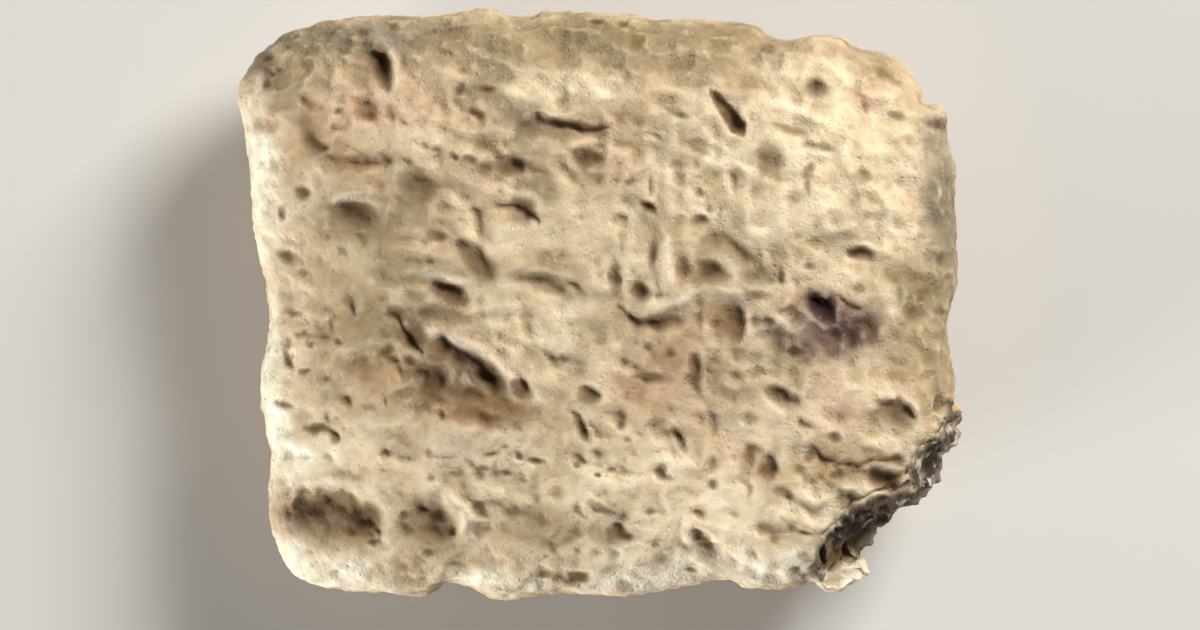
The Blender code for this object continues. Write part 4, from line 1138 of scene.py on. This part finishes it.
def filling_of_marks(x, y):
    """How much silt and dirt lies in the marks at each place, and how pale their lips and ridges are, as
    wear and painted highlight.
    """
    silt, dirt, pale = np.zeros(len(x)), np.zeros(len(x)), np.zeros(len(x))
    for hollow in HOLLOWS:
        if hollow.dirt:
            sunk, lip, _ = shape_of_hollow(x, y, hollow)
            silt = np.maximum(silt, hollow.dirt**SILT_POWER * ramp(sunk, *SILT_BAND))
            dirt = np.maximum(dirt, hollow.dirt * ramp(sunk, *DIRT_BAND))
            pale = np.maximum(pale, lip * ramp(hollow.depth, *LIP_WEAR_AND_HIGHLIGHT_DEPTHS))
    for ridge in RIDGES:
        share = height_of_ridge(x, y, ridge) / ridge.height
        if ridge.height > 0:
            pale = np.maximum(pale, RIDGE_WEAR_AND_HIGHLIGHT * share)
        else:
            silt = np.maximum(silt, GROOVE_SILT * share)
    return silt, dirt, pale


def hollowness_of(mesh, points, normals):
    """How far each vertex is sunk below its surroundings, near and wide: 0.5 is level."""
    edges = np.empty(len(mesh.edges) * 2, int)
    mesh.edges.foreach_get("vertices", edges)
    edges = edges.reshape(-1, 2)
    hollowness = np.zeros(len(points))
    for rounds in HOLLOWNESS_ROUNDS:
        around = np.stack([smoothed(points[:, axis], edges, rounds) for axis in range(3)], axis=1)
        sunk = ((around - points) * normals).sum(axis=1)
        hollowness += sunk / len(HOLLOWNESS_ROUNDS) / (np.abs(sunk).mean() * HOLLOWNESS_GAIN)
    return np.clip(0.5 + 0.5 * hollowness, 0, 1)


def paint_clay(mesh):
    """Keeps on each vertex the clay's colour there, with its painted light and shade, how dirty it is
    and how much of it is broken.
    """
    points, normals = vertex_vectors(mesh, "co"), vertex_vectors(mesh, "normal")
    drawn = points[:, :2] / plan_scale()
    wander = shifts(points, PAINT_WANDER_SIZE, SEEDS["paint wander"])
    fray = shifts(points, PAINT_FRAY_SIZE, SEEDS["paint fray"])
    on_face = ramp(normals[:, 2], *PAINT_SLOPES)

    x, y = (drawn + STAIN_AND_LIGHT_WANDER * wander + STAIN_AND_LIGHT_FRAY * fray).T
    colour = with_stains_and_painted_light(washed_clay(points), x, y, on_face)
    x, y = (drawn - MARK_SHIFT + SILT_WANDER * wander + SILT_FRAY * fray).T
    silt, dirt, pale = filling_of_marks(x, y)
    # Pale wear and painted highlight on the lips and ridges
    pale *= on_face * (1 - ramp(silt, *WEAR_AND_HIGHLIGHT_UNDER_SILT))
    colour = tinted(colour, PAINTED_LIGHT_AND_WEAR, WEAR_AND_HIGHLIGHT_COVER * pale)
    wedge = share_of_wedge(*drawn.T)
    silt = np.maximum(silt, ramp(wedge, *WEDGE_SILT_BAND)) * on_face
    dirt = np.maximum(dirt, WEDGE_DIRT * ramp(wedge, *WEDGE_DIRT_BAND)) * on_face

    x, y = (drawn + RIM_FRAY * fray).T
    patches = ramp(value_noise(points, RIM_PATCH_SIZE, SEEDS["rim patches"]), *RIM_PATCH_BAND)
    outer_rim = ramp(past_break_edge(x, y), *RIM_BAND) * patches
    broken = on_fracture(x, y, points[:, 2]) * (1 - RIM_CLEAN * outer_rim)
    broken *= 1 - chip_top(x, y, points[:, 2])

    add_values(mesh, "silt", silt)
    add_values(mesh, "dirt", dirt)
    add_values(mesh, "hollowness", hollowness_of(mesh, points, normals))
    add_values(mesh, "broken", broken)
    # The clay's colour, its stains and its painted light and shade together
    paint = mesh.color_attributes.new("earth", "FLOAT_COLOR", "POINT")
    channels = np.concatenate([colour, np.ones((len(points), 1))], axis=1)
    paint.data.foreach_set("color", channels.astype(np.float32).ravel())


def set_down(mesh):
    """Turns the tablet to metres and sets it where the solid lies."""
    points = vertex_vectors(mesh, "co")
    low, high = points.min(axis=0), points.max(axis=0)
    solid_low, solid_high = (np.array(corner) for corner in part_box("tablet"))
    middle = (solid_low + solid_high) / 2
    offset = np.array([*middle[:2], solid_low[2]])
    points -= np.array([*((low + high) / 2)[:2], low[2]])
    set_vertex_places(mesh, points * METRES + offset)


def new_group(name, inputs, outputs):
    """An empty shader group with its sockets, and its two end nodes."""
    group = bpy.data.node_groups.new(name, "ShaderNodeTree")
    for socket_name, kind, default in inputs:
        socket = group.interface.new_socket(socket_name, in_out="INPUT", socket_type=kind)
        socket.default_value = default
    for socket_name, kind in outputs:
        group.interface.new_socket(socket_name, in_out="OUTPUT", socket_type=kind)
    return group, group.nodes.new("NodeGroupInput"), group.nodes.new("NodeGroupOutput")


def mix_colours(nodes, links, blend, factor, first, second):
    """A colour mix node fed by sockets or plain values, and its result."""
    mix = nodes.new("ShaderNodeMix")
    mix.data_type = "RGBA"
    mix.blend_type = blend
    # A colour mix has its factor as input 0, its colours as inputs 6 and 7, and its result as output 2
    for index, value in ((0, factor), (6, first), (7, second)):
        if isinstance(value, bpy.types.NodeSocket):
            links.new(value, mix.inputs[index])
        elif index:
            mix.inputs[index].default_value = (*value, 1.0)
        else:
            mix.inputs[index].default_value = value
    return mix.outputs[2]


def arithmetic(nodes, links, operation, first, second=0.0, clamp=False):
    """A math node fed by sockets or plain values, and its result."""
    node = nodes.new("ShaderNodeMath")
    node.operation = operation
    node.use_clamp = clamp
    for socket, value in zip(node.inputs, (first, second)):
        if isinstance(value, bpy.types.NodeSocket):
            links.new(value, socket)
        else:
            socket.default_value = value
    return node.outputs[0]


def noise(nodes, links, vector, scale, detail, roughness=0.5):
    """A noise texture's value."""
    texture = nodes.new("ShaderNodeTexNoise")
    texture.inputs["Scale"].default_value = scale
    texture.inputs["Detail"].default_value = detail
    texture.inputs["Roughness"].default_value = roughness
    links.new(vector, texture.inputs["Vector"])
    return texture.outputs["Fac"]


def spread(nodes, links, value, low, high, new_low=0.0, new_high=1.0):
    """A value stretched from one range to another, with a smooth rise."""
    node = nodes.new("ShaderNodeMapRange")
    node.interpolation_type = "SMOOTHSTEP"
    links.new(value, node.inputs["Value"])
    settings = {"From Min": low, "From Max": high, "To Min": new_low, "To Max": new_high}
    for name, setting in settings.items():
        node.inputs[name].default_value = setting
    return node.outputs["Result"]


def mottled_earth():
    """Group: a clay colour broken up by pale salt, brown specks and fine mottling."""
    group, start, end = new_group(
        "mottled_earth",
        (
            ("Vector", "NodeSocketVector", (0, 0, 0)),
            ("Colour", "NodeSocketColor", (0.6, 0.5, 0.35, 1)),
            ("Mottling", "NodeSocketFloat", 0.5),
            ("Specks", "NodeSocketFloat", 0.5),
            ("Salt", "NodeSocketFloat", 0.5),
        ),
        (("Colour", "NodeSocketColor"),),
    )
    nodes, links = group.nodes, group.links
    vector, colour = start.outputs["Vector"], start.outputs["Colour"]

    patches = noise(nodes, links, vector, MOTTLING_SCALE, detail=5, roughness=0.6)
    patches = spread(nodes, links, patches, *MOTTLING_BAND)
    darker = mix_colours(nodes, links, "MULTIPLY", start.outputs["Mottling"], colour, MOTTLING_SHADE)
    mottled = mix_colours(nodes, links, "MIX", patches, darker, colour)

    salt = noise(nodes, links, vector, SALT_SCALE, detail=4, roughness=0.65)
    salt = spread(nodes, links, salt, *SALT_BAND)
    salt = arithmetic(nodes, links, "MULTIPLY", salt, start.outputs["Salt"])
    salted = mix_colours(nodes, links, "MIX", salt, mottled, SALT)

    specks = noise(nodes, links, vector, SPECK_SCALE, detail=3, roughness=0.6)
    specks = spread(nodes, links, specks, *SPECK_BAND)
    specks = arithmetic(nodes, links, "MULTIPLY", specks, start.outputs["Specks"])
    specked = mix_colours(nodes, links, "MIX", specks, salted, SPECK)
    links.new(specked, end.inputs["Colour"])
    return group


def clay_grain():
    """Group: the height of the clay's own grain, from crumbs down to fine grit."""
    group, start, end = new_group(
        "clay_grain",
        (("Vector", "NodeSocketVector", (0, 0, 0)), ("Grit", "NodeSocketFloat", 0.5)),
        (("Height", "NodeSocketFloat"),),
    )
    nodes, links = group.nodes, group.links
    vector = start.outputs["Vector"]
    crumbs = noise(nodes, links, vector, GRAIN_CRUMB_SCALE, detail=5, roughness=0.62)
    grit = noise(nodes, links, vector, GRIT_SCALE, detail=3, roughness=0.6)
    grit = arithmetic(nodes, links, "MULTIPLY", grit, start.outputs["Grit"])
    pores = nodes.new("ShaderNodeTexVoronoi")
    pores.inputs["Scale"].default_value = PORE_SCALE
    links.new(vector, pores.inputs["Vector"])
    pores = spread(nodes, links, pores.outputs["Distance"], *PORE_BAND)
    rough = arithmetic(nodes, links, "ADD", crumbs, grit)
    pores = arithmetic(nodes, links, "MULTIPLY", pores, PORE_SHARE)
    links.new(arithmetic(nodes, links, "ADD", rough, pores), end.inputs["Height"])
    return group


def attribute(nodes, name):
    """A node that reads one of the tablet's own attributes."""
    node = nodes.new("ShaderNodeAttribute")
    node.attribute_name = name
    return node


def weathered_clay():
    """Dry clay, with painted highlight where it stands out and painted shade in its hollows, brown with
    earth in its hollows, and dark where it is broken, deepened there with painted shade.
    """
    material = bpy.data.materials.new("weathered_clay")
    material.use_nodes = True
    nodes, links = material.node_tree.nodes, material.node_tree.links
    shader = nodes["Principled BSDF"]
    shader.inputs["Specular IOR Level"].default_value = CLAY_SPECULAR
    vector = nodes.new("ShaderNodeTexCoord").outputs["Object"]

    mottled = nodes.new("ShaderNodeGroup")
    mottled.node_tree = mottled_earth()
    mottled.inputs["Mottling"].default_value = MOTTLING_SHARE
    mottled.inputs["Specks"].default_value = SPECK_SHARE
    mottled.inputs["Salt"].default_value = SALT_SHARE
    links.new(vector, mottled.inputs["Vector"])
    links.new(attribute(nodes, "earth").outputs["Color"], mottled.inputs["Colour"])
    colour = mottled.outputs["Colour"]

    # Painted highlight on the raised places and painted shade in the recesses, by how hollow each is
    hollowness = attribute(nodes, "hollowness").outputs["Fac"]
    worn = spread(nodes, links, hollowness, *PAINTED_HIGHLIGHT_BAND, new_high=PAINTED_HIGHLIGHT_SHARE)
    colour = mix_colours(nodes, links, "MIX", worn, colour, CREAM)
    sunk = spread(nodes, links, hollowness, *PAINTED_SHADE_BAND, new_high=PAINTED_SHADE_SHARE)
    colour = mix_colours(nodes, links, "MULTIPLY", sunk, colour, PAINTED_HOLLOW_SHADE)

    # The broken face: dark clay deepened with painted shade, with pale flecks
    broken = attribute(nodes, "broken").outputs["Fac"]
    chunks = noise(nodes, links, vector, BREAK_CHUNK_SCALE, detail=4, roughness=0.6)
    chunks = spread(nodes, links, chunks, *BREAK_CHUNK_BAND)
    fracture = mix_colours(nodes, links, "MIX", chunks, BREAK_DARK_AND_PAINTED_SHADE, BREAK_BROWN)
    flecks = noise(nodes, links, vector, BREAK_FLECK_SCALE, detail=4, roughness=0.6)
    flecks = spread(nodes, links, flecks, *BREAK_FLECK_BAND, new_high=BREAK_FLECK_SHARE)
    fracture = mix_colours(nodes, links, "MIX", flecks, fracture, BREAK_FLECK)
    broken = arithmetic(nodes, links, "MULTIPLY", broken, BREAK_SHARE)
    colour = mix_colours(nodes, links, "MIX", broken, colour, fracture)

    patchy = noise(nodes, links, vector, EARTH_PATCH_SCALE, detail=4, roughness=0.6)
    patchy = spread(nodes, links, patchy, *EARTH_PATCH_BAND, *EARTH_PATCH_SHARES)
    silt = arithmetic(nodes, links, "MULTIPLY", attribute(nodes, "silt").outputs["Fac"], patchy)
    colour = mix_colours(nodes, links, "MIX", silt, colour, SILT)
    dirt = arithmetic(nodes, links, "MULTIPLY", attribute(nodes, "dirt").outputs["Fac"], patchy)
    colour = mix_colours(nodes, links, "MIX", dirt, colour, DARK_EARTH)
    links.new(colour, shader.inputs["Base Color"])

    dusty = noise(nodes, links, vector, DUST_SCALE, detail=3)
    dusty = spread(nodes, links, dusty, *DUST_BAND, *CLAY_ROUGHNESS)
    links.new(dusty, shader.inputs["Roughness"])

    grain = nodes.new("ShaderNodeGroup")
    grain.node_tree = clay_grain()
    grain.inputs["Grit"].default_value = GRIT_SHARE
    links.new(vector, grain.inputs["Vector"])
    bump = nodes.new("ShaderNodeBump")
    bump.inputs["Strength"].default_value = BUMP_STRENGTH
    bump.inputs["Distance"].default_value = BUMP_DISTANCE
    links.new(grain.outputs["Height"], bump.inputs["Height"])
    links.new(bump.outputs["Normal"], shader.inputs["Normal"])
    return material


def clay_tablet():
    """The tablet's fine piece, in the place of the plain solid."""
    tablet = blank_of_clay()
    even_out(tablet)
    press_relief(tablet.data)
    thin_out(tablet)
    paint_clay(tablet.data)
    set_down(tablet.data)
    tablet.data.materials.clear()
    tablet.data.materials.append(weathered_clay())
    tablet.data.shade_smooth()
    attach(tablet, "root")
    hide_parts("tablet")


def pale_floor():
    """The plain pale surface that the tablet lies on."""
    bpy.ops.object.select_all(action="DESELECT")
    bpy.ops.mesh.primitive_plane_add(size=FLOOR_SIZE, location=(0, 0, SOLID_BOX[0][2]))
    floor = bpy.context.object
    floor.name = "pale_floor"
    paper = bpy.data.materials.new("pale_paper")
    paper.use_nodes = True
    shader = paper.node_tree.nodes["Principled BSDF"]
    shader.inputs["Base Color"].default_value = FLOOR_COLOUR
    shader.inputs["Roughness"].default_value = FLOOR_ROUGHNESS
    shader.inputs["Specular IOR Level"].default_value = FLOOR_SPECULAR
    floor.data.materials.append(paper)


def soft_light(name, azimuth, elevation, size, power, colour):
    """A square lamp that points at the tablet: degrees anticlockwise from +x, and up from the floor."""
    azimuth, elevation = math.radians(azimuth), math.radians(elevation)
    place = (
        LAMP_DISTANCE * math.cos(elevation) * math.cos(azimuth),
        LAMP_DISTANCE * math.cos(elevation) * math.sin(azimuth),
        LAMP_DISTANCE * math.sin(elevation),
    )
    bpy.ops.object.select_all(action="DESELECT")
    bpy.ops.object.light_add(type="AREA", location=place)
    lamp = bpy.context.object
    lamp.name = name
    lamp.rotation_euler = (math.pi / 2 - elevation, 0, azimuth + math.pi / 2)
    lamp.data.shape = "SQUARE"
    lamp.data.size = size
    lamp.data.energy = power
    lamp.data.color = colour


def studio():
    """A key light from the upper right, a low one from the lower left, and a pale surround."""
    soft_light("key_light", azimuth=48, elevation=38, size=0.2, power=2.95, colour=(1.0, 0.97, 0.92))
    soft_light("low_light", azimuth=214, elevation=10, size=0.16, power=2.6, colour=(1.0, 0.98, 0.94))
    world = bpy.data.worlds.new("studio")
    world.use_nodes = True
    world.node_tree.nodes["Background"].inputs["Color"].default_value = SURROUND_COLOUR
    world.node_tree.nodes["Background"].inputs["Strength"].default_value = SURROUND_STRENGTH
    bpy.context.scene.world = world
    bpy.context.scene.view_settings.view_transform = "Standard"


def camera_above():
    """The camera looks straight down at the face, as the photograph does."""
    across = (SOLID_BOX[1][0] - SOLID_BOX[0][0]) * IMAGE_WIDTH / TABLET_WIDTH_SEEN
    distance = across * CAMERA_LENS / CAMERA_SENSOR
    widest = (SOLID_BOX[0][2] + SOLID_BOX[1][2]) / 2
    place = (0, -CAMERA_BELOW_MIDDLE, widest + distance)
    bpy.ops.object.select_all(action="DESELECT")
    bpy.ops.object.camera_add(location=place, rotation=(0, 0, 0))
    camera = bpy.context.object
    camera.name = "camera_above"
    camera.data.lens = CAMERA_LENS
    camera.data.sensor_width = CAMERA_SENSOR
    camera.data.clip_start = CAMERA_NEAREST
    bpy.context.scene.camera = camera


clay_tablet()
pale_floor()
studio()
camera_above()
